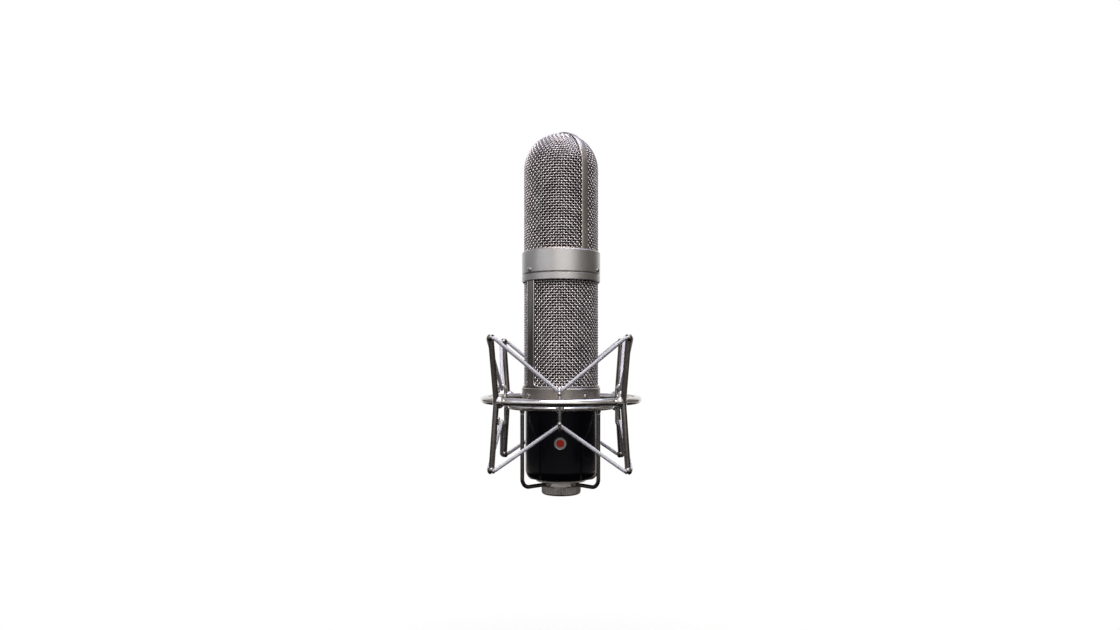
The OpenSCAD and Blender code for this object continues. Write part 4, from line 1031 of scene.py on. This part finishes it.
# The strip's section, one half of it: out from its middle, and across; its corners are matched to those of a
# round one by their bearing, once it is scaled to be as thick as it is wide
strip_half_width, strip_half_thick = 2.5, 0.4
half_section = ((0.28, 0.5), (0.21, 1.4), (0.12, 2.2), (0.0, 2.42), (-0.1, 2.5), (-0.2, 2.45),
                (-0.3, 2.3), (-0.3, 1.0))
section = [(out, side * across) for side in (1, -1) for out, across in half_section]
bpy.ops.object.select_all(action="DESELECT")
bpy.ops.mesh.primitive_circle_add(vertices=len(section), radius=1, fill_type="NGON",
                                  location=(hoop_r, 0, hoop_foot_z))
hoop = bpy.context.object
hoop.name = "crowned_hoop"
ring = sorted(hoop.data.vertices, key=lambda corner: math.atan2(corner.co.y, corner.co.x))
order = sorted(section, key=lambda corner: math.atan2(corner[1] / strip_half_width,
                                                      corner[0] / strip_half_thick))
for corner, (out, across) in zip(ring, order):
    corner.co = (out, across, 0)
bpy.ops.object.mode_set(mode="EDIT")
bpy.ops.mesh.select_all(action="SELECT")
bpy.ops.mesh.extrude_region_move(TRANSFORM_OT_translate={"value": (0, 0, hoop_rise)})
bpy.ops.mesh.spin(steps=48, angle=math.pi, center=(0, 0, dome_z), axis=(0, 1, 0), dupli=False)
bpy.ops.mesh.extrude_region_move(TRANSFORM_OT_translate={"value": (0, 0, -hoop_rise)})
bpy.ops.mesh.select_all(action="SELECT")
bpy.ops.mesh.remove_doubles(threshold=0.001)
bpy.ops.mesh.normals_make_consistent(inside=False)
bpy.ops.object.mode_set(mode="OBJECT")
bpy.ops.object.transform_apply(location=True, rotation=False, scale=False)
for corner in hoop.data.vertices:
    corner.co = beside(lower_front, corner.co.y, corner.co.x, corner.co.z)
bpy.ops.object.select_all(action="DESELECT")
bpy.ops.mesh.primitive_cylinder_add(vertices=128, radius=band_r, depth=band_h, end_fill_type="NOTHING",
                                    location=(0, 0, band_z))
band = bpy.context.object
bpy.ops.object.transform_apply(location=True, rotation=False, scale=False)
walled(band, frame_wall, offset=1.0, edge=0.18, edge_angle=30)
upper_frame = joined("hoop_and_band", [hoop, band])
bpy.ops.object.shade_smooth_by_angle(angle=math.radians(40))
upper_frame.data.transform(to_frame)
upper_frame.data.materials.append(handled_nickel)
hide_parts("upper_frame")
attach(upper_frame, "microphone")


# The upper grille: two half shells of the same woven wire, each with its half of the dome.
# They meet under the hoop and are tucked into the band at their feet.
upper_cloth_drop = 59.9
hang_grille("fine_upper_mesh_left", "upper_mesh_left", lower_front - 90, dome_z, upper_cloth_drop,
            domed=True)
hang_grille("fine_upper_mesh_right", "upper_mesh_right", lower_front + 90, dome_z, upper_cloth_drop,
            domed=True)


# The leads: stranded wire in dark red sleeving, soldered at both ends.
# They run from the ribbon clamps to the transformers and on to the pins.
# Sleeved wire: matt red, a little greasy, with the fine ribs of the extruded sleeve
red_sleeve = plain_finish("dark_red_wire_sleeve", "#7a1419", "#610f14", metallic=0.0,
                          polish=0.4, dullness=0.55, patch=0.004, grain=0.0003, depth=0.00004)
dress(red_sleeve, "ribbon_leads", "output_leads")
